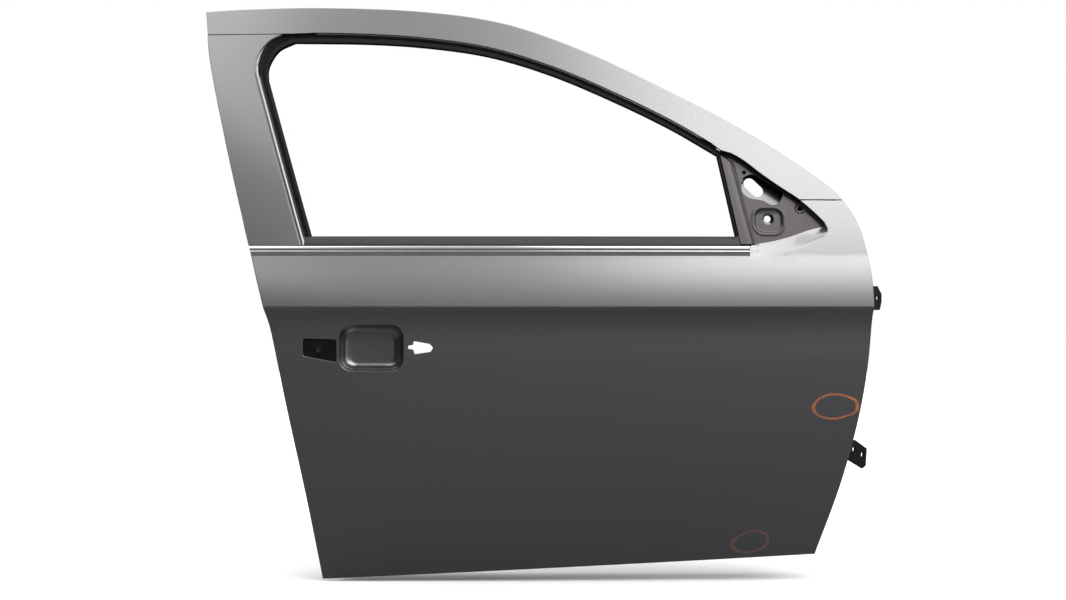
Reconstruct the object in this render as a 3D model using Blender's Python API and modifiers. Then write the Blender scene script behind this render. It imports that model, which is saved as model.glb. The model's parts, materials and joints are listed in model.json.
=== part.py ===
"""Front door shell of a saloon car, right-hand side, with its hinges.

Blender 4.5, metres, +Z up. +X points to the front of the car, the outer face looks along -Y,
and the crease in the outer skin is the level line z = 0 of the working coordinates.
"""

import math

import bmesh
import bpy
from mathutils import Vector

# Edges of the door seen from outside, as (height, x) or (x, height), read at the outer face
REAR_EDGE = ((-0.494, -0.3835), (-0.333, -0.4127), (-0.159, -0.4498), (-0.045, -0.4742), (0.0, -0.487),
             (0.102, -0.5155), (0.305, -0.5723), (0.472, -0.6158), (0.572, -0.6326))
TOP_EDGE = ((-0.6326, 0.5715), (-0.555, 0.5762), (-0.4, 0.5787), (-0.2063, 0.5696), (-0.0519, 0.5445),
            (0.101, 0.4872), (0.2513, 0.4111), (0.399, 0.3291), (0.5438, 0.2297), (0.5703, 0.2036))
FRONT_EDGE = ((-0.4496, 0.5161), (-0.3133, 0.5626), (-0.182, 0.5966), (-0.0731, 0.614), (0.04, 0.62),
              (0.123, 0.6085), (0.1676, 0.5934), (0.2036, 0.5703))
SILL_REAR_Z = -0.4944
SILL_FRONT_Z = -0.4505

# Section of the outer face: depth inboard of the crease, as (height, depth)
LOWER_SECTION = ((-0.50, 0.039), (-0.40, 0.022), (-0.30, 0.010), (-0.20, 0.0055), (-0.10, 0.0085),
                 (-0.036, 0.0125), (-0.018, 0.0095), (0.0, 0.0))
SHOULDER_SLOPE = 0.20
BELT_SLOPE = 0.38
FRAME_FOOT_SLOPE = 0.30
FRAME_TOP_SLOPE = 0.48
SHOULDER_HEIGHT = 0.095
FRAME_HEIGHT = 0.475
FLATTEST_X = -0.15
PLAN_RADIUS = 11.0

# Sheets and gaps
SHEET = 0.001
GAP = 0.0003
FLANGE = 0.011
HEM_WIDTH = 0.009
HEM_GAP = 0.0006
HEM_DEPTH = 3 * SHEET + 2 * HEM_GAP
SEAT_GAP = 3 * GAP
EDGE_BAND = 0.002
NEAR = 0.0005

# Belt line
SKIN_TOP = 0.1105
CHROME_LOW = 0.0950
CHROME_TOP = 0.1133
CHROME_FRONT = 0.396
CHROME_PROUD = 0.0045
BELT_SEAL_TOP = 0.1312
BELT_SEAL_REACH = 0.013
BELT_SEAL_LIP = 0.0016
BELT_SEAL_PROUD = 0.0025
BELT_SEAL_REAR_GAP = 0.0015
BELT_SEAL_FRONT_GAP = 0.002
BAND_PROFILE = ((0.7, 0.04), (0.9, 0.2), (0.55, 0.42), (0.55, 0.5), (1.0, 0.56), (1.0, 0.8), (0.6, 1.0))

# Window opening inside the rubber, as (x, height)
WINDOW_REAR_FOOT_X = -0.4064
WINDOW_REAR_HEAD = (-0.5034, 0.4323)
WINDOW_CORNER = ((-0.5034, 0.4323), (-0.5048, 0.4525), (-0.4985, 0.4728), (-0.4846, 0.4932),
                 (-0.4566, 0.5075))
WINDOW_TOP = ((-0.4566, 0.5075), (-0.3123, 0.5049), (-0.1971, 0.4965), (-0.0821, 0.4781), (0.0323, 0.4418),
              (0.1454, 0.3921), (0.2571, 0.3353), (0.3434, 0.2830))
WINDOW_FRONT_FOOT_X = 0.3719
SEAL_REAR_WIDTH = 0.012
SEAL_TOP_WIDTH = 0.016
SEAL_HEAD_WIDTH = 0.0105
SEAL_FRONT_WIDTH = 0.006
SEAL_WALL = 0.003
SEAL_OUTER_DEPTH = 0.005
SEAL_INNER_DEPTH = 0.027
CORNER_RUBBER_PROUD = 0.0015
CORNER_RUBBER_BACK = 0.0035

# Upper frame
SEAM_REAR_Z = 0.523
SEAM_FRONT_Z = 0.1995
SEAM_GAP = 0.0008
RUN_CLEARANCE = 0.0012
STRIP_WIDTH = 0.009
STRIP_DEPTH = 0.0025
FRAME_DEPTH = 0.040
FRAME_TOP_WIDTH = 0.058
FRAME_REAR_WIDTH = 0.088
FRAME_LIP = 0.012
FRAME_FOOT_GAP = 0.002
FRAME_SHEET = 0.0012

# Mirror sail at the front of the window, as (x, height)
SAIL_LOWER = ((0.3942, 0.0903), (0.4190, 0.0923), (0.4545, 0.1003), (0.4904, 0.1109), (0.5194, 0.1233),
              (0.5377, 0.1358))
SAIL_TIP = (0.5407, 0.1464)
SAIL_UPPER = ((0.3567, 0.2938), (0.3882, 0.2762), (0.4226, 0.2488), (0.4570, 0.2236), (0.4916, 0.2001),
              (0.5187, 0.1750), (0.5354, 0.1573))
SAIL_FLOOR = ((0.39, 0.1140), (0.4397, 0.1217), (0.4755, 0.1308), (0.5117, 0.1433), (0.5400, 0.1500))
SAIL_DEPTH = 0.012
SAIL_RAMP = (0.6, 0.4)
SAIL_TUCK = 0.002
SAIL_BACK_DEPTH = 0.034
SAIL_RIDGE_TOP = (0.3660, 0.2800)
SAIL_RIDGE_FOOT = (0.4034, 0.1171)
SAIL_RIDGE_RISE = 0.004
SAIL_RIDGE_SLOPE = 0.003
SAIL_RIDGE_EDGE = 0.7
SAIL_RIDGE_BAND = 0.0015
SAIL_OPENING = ((0.3865, 0.2250), (0.3885, 0.2390), (0.3990, 0.2465), (0.4116, 0.2482), (0.4330, 0.2350),
                (0.4607, 0.2178), (0.4640, 0.2093), (0.4560, 0.1940), (0.4426, 0.1900), (0.4280, 0.1975),
                (0.4150, 0.2005), (0.4002, 0.2034), (0.3890, 0.2130))
SAIL_HOLES = (((0.3933, 0.2521), 0.0040), ((0.4944, 0.1835), 0.0048))
PAD_CENTRE = (0.4350, 0.1610)
PAD_SIZE = (0.054, 0.048)
PAD_CORNER = 0.018
PAD_DROP = 0.003
PAD_FACE = 0.86
STUD_HOLE = ((0.4350, 0.1640), 0.011)
BACK_SLOT_CENTRE = (0.4121, 0.2247)
BACK_SLOT_LENGTH = 0.042
BACK_SLOT_WIDTH = 0.022
BACK_HOLE = ((0.4356, 0.1654), 0.0062)
INNER_CORNER_INSET = 0.012
INNER_CORNER_LOW = 0.112
INNER_CORNER_TOP = 0.175
SAIL_FOOT_WIDTH = 0.009
SAIL_FOOT_SHIFT = 0.008

# Door handle in the skin, as (x, height); the apertures' x is counted from the bowl's near end
BOWL_CENTRE = (-0.2925, -0.0725)
BOWL_SIZE = (0.118, 0.085)
BOWL_CORNER = 0.024
BOWL_DEPTH = 0.030
BOWL_PROFILE = ((0.97, 0.1), (0.88, 0.45), (0.74, 0.82), (0.5, 1.0))
BOWL_REAR_X = BOWL_CENTRE[0] - BOWL_SIZE[0] / 2
BOWL_FRONT_X = BOWL_CENTRE[0] + BOWL_SIZE[0] / 2
REAR_APERTURE = ((-0.0647, -0.0556), (-0.0048, -0.0574), (-0.0045, -0.0978), (-0.0644, -0.0866))
FRONT_APERTURE = ((0.0174, -0.0599), (0.0465, -0.0650), (0.0529, -0.0715), (0.0485, -0.0790),
                  (0.0200, -0.0831), (0.0170, -0.0745), (0.0079, -0.0735), (0.0079, -0.0680),
                  (0.0170, -0.0670))
CARRIER_SHEET = 0.002
CARRIER_MARGIN = 0.012
CARRIER_ENDS = (0.0785, 0.0675)
CARRIER_HEIGHTS = (-0.126, -0.020)
CARRIER_EYE = ((-0.0355, -0.0755), 0.004)
EYE_DEPTH = 0.012
FRONT_WELL = ((0.0310, -0.0715), (0.051, 0.028))
WELL_CORNER = 0.004

# Inner panel
INNER_Y = 0.135
INNER_TOP = 0.125
WALL_DROP = 0.0065
ROW_DROP = 0.009
WALL_TOP = SKIN_TOP - WALL_DROP
FLANGE_INSET = 0.0015
WALL_INSET = 0.015
WALL_LEAN = 0.026
WALL_BEND = 0.4
HINGE_WALL_STEP = 0.012
HINGE_WALL_FOOT = 0.006
HINGE_WALL_X = 0.520
HINGE_WALL_Y = 0.047
CORNER_LENGTH = 0.05
SPEAKER_CENTRE = (0.330, -0.300)
SPEAKER_RADIUS = 0.078
SERVICE_HOLES = (((-0.245, -0.075), (0.270, 0.190)), ((0.190, -0.045), (0.340, 0.150)),
                 ((-0.090, -0.320), (0.420, 0.150)))
SERVICE_CORNER = 0.030
LATCH_SLOT = (0.060, 0.105, -0.110, -0.045)
LATCH_CUT = 0.055
LATCH_RIM = 0.014
LATCH_CLEARANCE = 0.001
PLATE_CORNER = 0.006

# Hinges: the pins stand on one upright line
PIN_X = 0.545
PIN_Y = 0.062
PIN_RADIUS = 0.004
KNUCKLE_RADIUS = 0.009
BODY_KNUCKLE = 0.011
DOOR_KNUCKLE = 0.024
KNUCKLE_GAP = 0.0004
LEAF_SHEET = 0.004
LEAF_ANGLE = math.radians(47)
UPPER_HINGE_Z = 0.018
LOWER_HINGE_Z = -0.268
LEAF_HOLE_RADIUS = 0.0048
LEAF_HOLE_SPACING = 0.027
UPPER_LEAF_ROOT = (0.6147, 0.0715)
UPPER_LEAF = ((0.0, -0.0223), (0.0465, -0.0223), (0.0525, -0.0067), (0.0525, 0.0078), (0.0465, 0.0138),
              (0.0385, 0.0223), (0.0, 0.0223))
UPPER_LEAF_HOLE = (0.012, 0.0)
LOWER_LEAF_ROOT = (0.5770, 0.0520)
LOWER_LEAF = ((0.0, -0.011), (0.0095, -0.0134), (0.050, -0.030), (0.0609, -0.025), (0.0647, 0.0064),
              (0.0236, 0.0249), (0.0, 0.0249))
LOWER_LEAF_HOLE = (0.0200, 0.008)
LOWER_LEAF_HOLE_STEP = (0.029, -0.012)
DOOR_LEAF_Y = (0.080, 0.128)
DOOR_LEAF_HEIGHT = 0.052
DOOR_ARM_ROOT = 0.014
DOOR_ARM_INSET = 0.002
HINGE_PLATE_Y = (0.072, 0.130)
HINGE_PLATE_HEIGHT = 0.070
HINGE_PLATE_SHEET = 0.003
DOOR_BOLT_Y = 0.108
DOOR_BOLT_SPREAD = 0.013
BOLT_RADIUS = 0.004
BOLT_HOLE_RADIUS = 0.0045
BOLT_HEAD = 0.0075
BOLT_HEAD_HEIGHT = 0.0055
BOLT_END = 0.010
PIN_TAIL = 0.003
PIN_CHAMFER = 0.001

# Beam and glass guides
BEAM_RADIUS = 0.014
BEAM_WALL = 0.002
BEAM_Y = 0.052
BEAM_FRONT = (0.470, -0.100)
BEAM_REAR = (-0.350, -0.262)
BRACKET_SHEET = 0.002
BRACKET_HEIGHT = 0.064
FRONT_BRACKET_REACH = 0.07
FRONT_BRACKET_TAB = 0.03
REAR_BRACKET_REACH = 0.035
REAR_BRACKET_BEND = 0.008
BRACKET_FOOT = 0.018
GUIDE_WIDTH = 0.014
GUIDE_DEPTH = 0.014
GUIDE_WALL = 0.0015
GUIDE_TOP = 0.085
GLASS_DEPTH = 0.016
GUIDE_LOW_DEPTH = 0.056
REAR_GUIDE_LOW = -0.205
FRONT_GUIDE_LOW = -0.070
REAR_BRACKET_HEIGHTS = (0.037, -0.190)
FRONT_GUIDE_BRACKET_Z = -0.050
GUIDE_BRACKET_HEIGHT = 0.020
GUIDE_BRACKET_BEND = 0.001
GUIDE_BRACKET_FOOT = 0.017
RAIL_ENDS = (-0.455, 0.370)
INNER_RAIL_ENDS = (-0.420, 0.470)
INNER_RAIL_RISE = 0.012
RAIL_LIP = 0.010
RAIL_DEPTH = 0.012
RAIL_LOW = 0.045
RAIL_TOP = 0.1075


def curve_value(points, t):
    """Height at t of the smooth curve through (t, value) points."""
    last = len(points) - 2
    i = 0
    while i < last and t > points[i + 1][0]:
        i += 1
    t0, v0 = points[i]
    t1, v1 = points[i + 1]
    before = points[max(i - 1, 0)]
    after = points[min(i + 2, len(points) - 1)]
    m0 = (v1 - before[1]) / (t1 - before[0])
    m1 = (after[1] - v0) / (after[0] - t0)
    span = t1 - t0
    s = (t - t0) / span
    return ((2 * s**3 - 3 * s**2 + 1) * v0 + (s**3 - 2 * s**2 + s) * span * m0
            + (3 * s**2 - 2 * s**3) * v1 + (s**3 - s**2) * span * m1)


def rear_x(z):
    return curve_value(REAR_EDGE, z)


def top_z(x):
    return curve_value(TOP_EDGE, x)


def front_x(z):
    return curve_value(FRONT_EDGE, z)


def sill_z(x):
    rear = rear_x(SILL_REAR_Z)
    front = front_x(SILL_FRONT_Z)
    return SILL_REAR_Z + (SILL_FRONT_Z - SILL_REAR_Z) * (x - rear) / (front - rear)


def skin_y(x, z):
    """Depth of the door's outer face at x and height z."""
    bow = (x - FLATTEST_X)**2 / (2 * PLAN_RADIUS)
    if z <= 0:
        return bow + curve_value(LOWER_SECTION, z)
    low = min(z, SHOULDER_HEIGHT)
    depth = SHOULDER_SLOPE * low + (BELT_SLOPE - SHOULDER_SLOPE) * low**2 / (2 * SHOULDER_HEIGHT)
    if z > SHOULDER_HEIGHT:
        high = z - SHOULDER_HEIGHT
        depth += FRAME_FOOT_SLOPE * high
        depth += (FRAME_TOP_SLOPE - FRAME_FOOT_SLOPE) * high**2 / (2 * FRAME_HEIGHT)
    return bow + depth


def steps(low, high, count):
    return [low + (high - low) * i / count for i in range(count + 1)]


SKIN_ROWS = [-0.465] + steps(-0.42, -0.06, 6) + [-0.036, -0.027, -0.018, -0.009]
SKIN_ROWS += steps(0.0, WALL_TOP - ROW_DROP, 3)
FRONT_ROWS = [z for z in SKIN_ROWS if z > SILL_FRONT_Z + 0.01]
FRAME_ROWS = steps(0.14, 0.56, 7)
COLUMNS = steps(-0.60, 0.60, 12)
EMPTIES = {}
DOOR = bpy.data.collections.new("car_door_shell")
CUTTERS = bpy.data.collections.new("cutters")


def material(name, colour, roughness, metallic):
    made = bpy.data.materials.new(name)
    made.use_nodes = True
    shader = made.node_tree.nodes["Principled BSDF"]
    shader.inputs["Base Color"].default_value = (*colour, 1.0)
    shader.inputs["Roughness"].default_value = roughness
    shader.inputs["Metallic"].default_value = metallic
    made.diffuse_color = (*colour, 1.0)
    return made


def add_object(name, bm, look, side="door"):
    """Turn a bmesh in working coordinates into a named piece of the door or of the car side."""
    mesh = bpy.data.meshes.new(name)
    bm.to_mesh(mesh)
    bm.free()
    mesh.materials.append(look)
    mesh.shade_smooth()
    mesh.set_sharp_from_angle(angle=math.radians(30))
    piece = bpy.data.objects.new(name, mesh)
    DOOR.objects.link(piece)
    piece.parent = EMPTIES[side]
    piece.location = -Vector((PIN_X, PIN_Y, 0.0))
    return piece


def add_cutter(name, bm):
    mesh = bpy.data.meshes.new(name)
    bm.to_mesh(mesh)
    bm.free()
    cutter = bpy.data.objects.new(name, mesh)
    CUTTERS.objects.link(cutter)
    cutter.parent = EMPTIES["door"]
    cutter.location = -Vector((PIN_X, PIN_Y, 0.0))
    cutter.hide_render = True
    cutter.display_type = "WIRE"
    return cutter


def combine(piece, other, operation):
    change = piece.modifiers.new(operation.lower(), "BOOLEAN")
    change.object = other
    change.operation = operation
    change.solver = "EXACT"


def solidify(piece, thickness, offset=-1.0):
    shell = piece.modifiers.new("thickness", "SOLIDIFY")
    shell.thickness = thickness
    shell.offset = offset
    shell.use_even_offset = True
    return piece


def loft(rings):
    """Closed solid through rings that each have the same number of points."""
    bm = bmesh.new()
    rows = [[bm.verts.new(point) for point in ring] for ring in rings]
    for near, far in zip(rows, rows[1:]):
        for i in range(len(near)):
            j = (i + 1) % len(near)
            bm.faces.new((near[i], near[j], far[j], far[i]))
    bm.faces.new(rows[0])
    bm.faces.new(rows[-1])
    bmesh.ops.recalc_face_normals(bm, faces=bm.faces[:])
    return bm


def side_normals(points):
    """For each point of an open path in the plane, its mitred direction to the left of the way."""
    ways = [(Vector(b) - Vector(a)).normalized() for a, b in zip(points, points[1:])]
    lefts = [Vector((-way.y, way.x)) for way in ways]
    lefts = [lefts[0]] + lefts + [lefts[-1]]
    return [(a + b) / (1 + a.dot(b)) for a, b in zip(lefts, lefts[1:])]


def folded(points, thickness):
    """Outline of a sheet of the given thickness, folded along a path in the plane."""
    back = [Vector(p) + left * thickness for p, left in zip(points, side_normals(points))]
    return [Vector(p) for p in points] + back[::-1]


def rounded(centre, size, radius, count=4):
    """Rectangle with round corners, as points in the plane."""
    loop = []
    for quarter in range(4):
        middle = math.radians(90 * quarter)
        sx = 1 if quarter in (0, 3) else -1
        sz = 1 if quarter in (0, 1) else -1
        cx = centre[0] + sx * (size[0] / 2 - radius)
        cz = centre[1] + sz * (size[1] / 2 - radius)
        for i in range(count + 1):
            turn = middle + math.radians(90) * i / count
            loop.append((cx + radius * math.cos(turn), cz + radius * math.sin(turn)))
    return loop


def circle(centre, radius, count=16):
    turns = [2 * math.pi * (i + 0.5) / count for i in range(count)]
    return [(centre[0] + radius * math.cos(turn), centre[1] + radius * math.sin(turn)) for turn in turns]


def on_line(values, a, b):
    return any(abs(a - value) < 1e-6 and abs(b - value) < 1e-6 for value in values)


def sheet(loops, place, facing, columns=(), rows=()):
    """Open surface inside the first loop and outside the others, laid in space by place(u, v)."""
    bm = bmesh.new()
    for loop in loops:
        corners = [bm.verts.new((u, v, 0.0)) for u, v in loop]
        for a, b in zip(corners, corners[1:] + corners[:1]):
            bm.edges.new((a, b))
    bmesh.ops.triangle_fill(bm, use_beauty=True, edges=bm.edges[:])
    cuts = [((u, 0.0, 0.0), (1.0, 0.0, 0.0)) for u in columns]
    cuts += [((0.0, v, 0.0), (0.0, 1.0, 0.0)) for v in rows]
    for point, normal in cuts:
        geometry = bm.verts[:] + bm.edges[:] + bm.faces[:]
        bmesh.ops.bisect_plane(bm, geom=geometry, dist=1e-6, plane_co=point, plane_no=normal)
    spare = []
    for edge in bm.edges:
        a, b = (vert.co for vert in edge.verts)
        if len(edge.link_faces) == 2 and not on_line(columns, a.x, b.x) and not on_line(rows, a.y, b.y):
            spare.append(edge)
    if columns or rows:
        bmesh.ops.dissolve_edges(bm, edges=spare, use_verts=False)
    for vert in bm.verts:
        vert.co = place(vert.co.x, vert.co.y)
    face_towards(bm, facing)
    return bm


def face_towards(bm, facing):
    bmesh.ops.recalc_face_normals(bm, faces=bm.faces[:])
    total = Vector()
    for face in bm.faces:
        total += face.normal * face.calc_area()
    if total.dot(Vector(facing)) < 0:
        bmesh.ops.reverse_faces(bm, faces=bm.faces[:])


def open_edges(bm, test=None):
    found = []
    for edge in bm.edges:
        middle = (edge.verts[0].co + edge.verts[1].co) / 2
        if len(edge.link_faces) == 1 and (test is None or test(middle)):
            found.append(edge)
    return found


def spot(co):
    return (round(co.x, 6), round(co.y, 6), round(co.z, 6))


def fold(bm, edges, moves):
    """Extrude open edges once for each move; move(x, z, way) gives the new (x, y, z).

    way is the mitred direction into the sheet at the edge's first place, seen along Y.
    """
    normals = {}
    for edge in edges:
        loop = edge.link_loops[0]
        along = loop.link_loop_next.vert.co - loop.vert.co
        normal = Vector((along.z, 0.0, -along.x)).normalized()
        if normal.dot(loop.face.normal.cross(along)) < 0:
            normal.negate()
        for vert in edge.verts:
            normals.setdefault(spot(vert.co), []).append(normal)
    base = {}
    for edge in edges:
        for vert in edge.verts:
            pair = normals[spot(vert.co)]
            first, last = pair[0], pair[-1]
            base[spot(vert.co)] = (vert.co.x, vert.co.z, (first + last) / (1 + first.dot(last)))
    for move in moves:
        made = bmesh.ops.extrude_edge_only(bm, edges=edges)["geom"]
        verts = {item for item in made if isinstance(item, bmesh.types.BMVert)}
        rims = [item for item in made if isinstance(item, bmesh.types.BMEdge)]
        shifted = {}
        for vert in verts:
            start = base[spot(vert.co)]
            vert.co = move(*start)
            shifted[spot(vert.co)] = start
        base = shifted
        edges = [rim for rim in rims if verts.issuperset(rim.verts)]
    return edges


def on_skin(depth=0.0):
    """Placing function for a sheet that lies the given depth behind the outer face."""
    def place(x, z):
        return Vector((x, skin_y(x, z) + depth, z))
    return place


def sail_edge():
    """Border of the mirror sail from its lower rear end round its tip to the header seam."""
    upper = [point for point in SAIL_UPPER[::-1] if point[1] < SEAM_FRONT_Z]
    return [*SAIL_LOWER, SAIL_TIP, *upper]


def sail_upper_z(x):
    return curve_value(SAIL_UPPER, x)


def sail_upper_x(z):
    """Place on the upper border of the sail at height z, by halving."""
    low, high = SAIL_UPPER[0][0], SAIL_UPPER[-1][0]
    for _ in range(40):
        middle = (low + high) / 2
        if sail_upper_z(middle) > z:
            low = middle
        else:
            high = middle
    return low


def skin_outline():
    """Lower panel's outline: belt, sail border, header seam, front edge, sill, rear edge."""
    seam_z = SEAM_FRONT_Z - SEAM_GAP
    belt = [(rear_x(SKIN_TOP), SKIN_TOP), (SAIL_LOWER[0][0], SKIN_TOP)]
    seam = [(sail_upper_x(seam_z), seam_z), (front_x(seam_z), seam_z)]
    front = [(front_x(z), z) for z in steps(seam_z, SKIN_ROWS[-1], 4)[1:-1] + FRONT_ROWS[::-1]]
    sill = [(front_x(SILL_FRONT_Z), SILL_FRONT_Z), (rear_x(SILL_REAR_Z), SILL_REAR_Z)]
    rear = [(rear_x(z), z) for z in SKIN_ROWS]
    return belt + sail_edge() + seam + front + sill + rear


def on_hem(point):
    """Whether a place in the plane lies on the rear, sill or front edge of the lower panel."""
    x, z = point.x, point.z
    if z > SKIN_TOP - NEAR and x < 0:
        return False
    at_front = z < SEAM_FRONT_Z - EDGE_BAND and x > front_x(z) - EDGE_BAND
    return at_front or x < rear_x(z) + EDGE_BAND or z < sill_z(x) + EDGE_BAND


def near_box(centre, size, margin=0.003):
    def test(point):
        inside_x = abs(point.x - centre[0]) < size[0] / 2 + margin
        return inside_x and abs(point.z - centre[1]) < size[1] / 2 + margin
    return test


def carrier_span():
    """Low and high corners of the handle carrier, on both sides of the bowl."""
    low, high = CARRIER_HEIGHTS
    return (BOWL_REAR_X - CARRIER_ENDS[0], low), (BOWL_FRONT_X + CARRIER_ENDS[1], high)


def in_handle(point):
    low, high = carrier_span()
    return low[0] < point.x < high[0] and low[1] < point.z < high[1]


def shifted(loop, x):
    return [(x + point[0], point[1]) for point in loop]


def floor_z(x):
    return curve_value(SAIL_FLOOR, min(max(x, SAIL_FLOOR[0][0]), SAIL_FLOOR[-1][0]))


def towards_floor(x, z, share):
    """Place on the ramp between the sail's border and its floor."""
    if z <= SAIL_TIP[1] and x > SAIL_LOWER[0][0] - NEAR:
        at_foot = x < SAIL_LOWER[1][0] - SAIL_FOOT_WIDTH
        across = SAIL_FOOT_SHIFT if at_foot else -SAIL_TUCK
        return x + across * share, z + max(floor_z(x) - z, SAIL_TUCK) * share
    return x - SAIL_TUCK * share, z - SAIL_TUCK * share


def skin_folds():
    """Moves for the lower panel's edge: a hem on three sides, a ramp at the sail, a flange elsewhere."""
    def on_belt(x, z):
        return z > SKIN_TOP - NEAR and x < SAIL_LOWER[0][0] + NEAR

    def on_seam(x, z):
        return z > SEAM_FRONT_Z - SEAM_GAP - NEAR and x > 0

    def first(x, z, way):
        if on_hem(Vector((x, 0, z))) or on_belt(x, z) or on_seam(x, z):
            return Vector((x, skin_y(x, z) + HEM_DEPTH, z))
        u, v = towards_floor(x, z, SAIL_RAMP[0])
        return Vector((u, skin_y(u, v) + SAIL_RAMP[1] * SAIL_DEPTH, v))

    def second(x, z, way):
        if on_hem(Vector((x, 0, z))):
            u, v = x + way.x * HEM_WIDTH, z + way.z * HEM_WIDTH
            return Vector((u, skin_y(u, v) + HEM_DEPTH, v))
        if on_belt(x, z) or on_seam(x, z):
            return Vector((x, skin_y(x, z) + FLANGE / 2, z))
        u, v = towards_floor(x, z, 1.0)
        return Vector((u, skin_y(u, v) + SAIL_DEPTH - GAP, v))
    return [first, second]


def dish(bm, edges, centre, profile, place):
    """Draw an open loop down through (share of its size, depth) pairs and close it with a floor."""
    def move_to(share, depth):
        def move(x, z, way):
            u = centre[0] + (x - centre[0]) * share
            v = centre[1] + (z - centre[1]) * share
            return Vector((u, place(u, v).y + depth, v))
        return move
    rim = fold(bm, edges, [move_to(share, depth) for share, depth in profile])
    bmesh.ops.holes_fill(bm, edges=rim)
    return rim


def outer_skin(look):
    bowl = rounded(BOWL_CENTRE, BOWL_SIZE, BOWL_CORNER)
    apertures = [shifted(REAR_APERTURE, BOWL_REAR_X), shifted(FRONT_APERTURE, BOWL_FRONT_X)]
    bm = sheet([skin_outline(), bowl] + apertures, on_skin(), (0, -1, 0), COLUMNS, SKIN_ROWS)
    rim = open_edges(bm, lambda p: not in_handle(p))
    fold(bm, rim, skin_folds())
    rim = open_edges(bm, near_box(BOWL_CENTRE, BOWL_SIZE))
    profile = [(size, share * BOWL_DEPTH) for size, share in BOWL_PROFILE]
    dish(bm, rim, BOWL_CENTRE, profile, on_skin())
    face_towards(bm, (0, -1, 0))
    return solidify(add_object("outer_skin", bm, look), SHEET)


def flange_moves(depth):
    """One straight return flange, square to the outer face."""
    def move(x, z, way):
        return Vector((x, skin_y(x, z) + depth, z))
    return [move]


def header_outer(look):
    """Upper frame's outer panel, from the corner over the rear pillar to the seam at the front."""
    seam_rear = SEAM_REAR_Z + SEAM_GAP
    top = [(x, top_z(x)) for x in steps(TOP_EDGE[0][0], TOP_EDGE[-1][0], 24)]
    seam = [(front_x(SEAM_FRONT_Z), SEAM_FRONT_Z), (sail_upper_x(SEAM_FRONT_Z), SEAM_FRONT_Z)]
    sail = [(x, sail_upper_z(x)) for x in steps(SAIL_UPPER[0][0], SAIL_UPPER[4][0], 4)[1:-1]][::-1]
    path, widths = window_path(BELT_SEAL_TOP, None)
    edge = [(point[0] + way.x * (width + RUN_CLEARANCE), point[1] + way.y * (width + RUN_CLEARANCE))
            for point, way, width in zip(path, side_normals(path), widths)
            if point[0] > WINDOW_TOP[0][0] - NEAR and point[1] > WINDOW_TOP[-1][1] - NEAR]
    lower = edge[::-1]
    rear = [(pillar_side_x(seam_rear), seam_rear), (rear_x(seam_rear), seam_rear)]
    bm = sheet([top + seam + sail + lower + rear], on_skin(), (0, -1, 0), COLUMNS, FRAME_ROWS)
    fold(bm, open_edges(bm), flange_moves(FLANGE))
    face_towards(bm, (0, -1, 0))
    return solidify(add_object("header_outer", bm, look), SHEET)


def pillar_side_x(z):
    """Window-side edge of the rear pillar's main face, clear of the glass run."""
    lean = (WINDOW_REAR_HEAD[0] - WINDOW_REAR_FOOT_X) / (WINDOW_REAR_HEAD[1] - BELT_SEAL_TOP)
    run = (SEAL_REAR_WIDTH + RUN_CLEARANCE) * math.hypot(1.0, lean)
    return window_rear_x(z) - run - STRIP_WIDTH


def b_pillar_outer(look):
    """Rear pillar's outer panel, with a stepped strip along the window."""
    low = CHROME_TOP + 2 * GAP
    top = SEAM_REAR_Z
    heights = [low] + [z for z in FRAME_ROWS if low < z < top] + [top]
    rear = [(rear_x(z), z) for z in heights]
    side = [(pillar_side_x(z), z) for z in heights[::-1]]
    bm = sheet([rear + side], on_skin(), (0, -1, 0), COLUMNS, FRAME_ROWS)

    def at_side(x, z):
        return x > pillar_side_x(z) - NEAR

    def strip(share, depth):
        def move(x, z, way):
            if at_side(x, z):
                x += share * STRIP_WIDTH
            return Vector((x, skin_y(x, z) + depth, z))
        return move
    fold(bm, open_edges(bm), [strip(0.08, STRIP_DEPTH), strip(1.0, STRIP_DEPTH + GAP), strip(1.0, FLANGE)])
    face_towards(bm, (0, -1, 0))
    return solidify(add_object("b_pillar_outer", bm, look), SHEET)


def window_front_x(z):
    head_x, head_z = WINDOW_TOP[-1]
    share = (z - BELT_SEAL_TOP) / (head_z - BELT_SEAL_TOP)
    return WINDOW_FRONT_FOOT_X + (head_x - WINDOW_FRONT_FOOT_X) * share


def window_rear_x(z):
    head_x, head_z = WINDOW_REAR_HEAD
    share = (z - BELT_SEAL_TOP) / (head_z - BELT_SEAL_TOP)
    return WINDOW_REAR_FOOT_X + (head_x - WINDOW_REAR_FOOT_X) * share


def corner_points(count):
    """Round rear top corner of the window, as a smooth curve through its chosen points."""
    turns = [(i, point) for i, point in enumerate(WINDOW_CORNER)]
    xs = [(i, point[0]) for i, point in turns]
    zs = [(i, point[1]) for i, point in turns]
    last = len(turns) - 1
    return [(curve_value(xs, t), curve_value(zs, t)) for t in steps(0, last, count)]


def window_path(low_rear, low_front):
    """Points up the rear side, round the corner, along the top and down the front, with seal widths."""
    rear = [(window_rear_x(z), z) for z in steps(low_rear, WINDOW_REAR_HEAD[1], 5)[:-1]]
    corner = corner_points(6)
    top = [(x, curve_value(WINDOW_TOP, x)) for x in steps(WINDOW_TOP[0][0], WINDOW_TOP[-1][0], 14)[1:]]
    front = []
    if low_front is not None:
        front = [(window_front_x(z), z) for z in steps(WINDOW_TOP[-1][1], low_front, 3)[1:]]
    widths = [SEAL_REAR_WIDTH] * len(rear)
    widths += steps(SEAL_REAR_WIDTH, SEAL_TOP_WIDTH, len(corner) - 1)
    along = steps(SEAL_TOP_WIDTH, SEAL_HEAD_WIDTH, len(top))[1:]
    widths += along[:-1] + [along[-1] if low_front is None else SEAL_FRONT_WIDTH]
    widths += [SEAL_FRONT_WIDTH] * len(front)
    return rear + corner + top + front, widths


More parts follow.
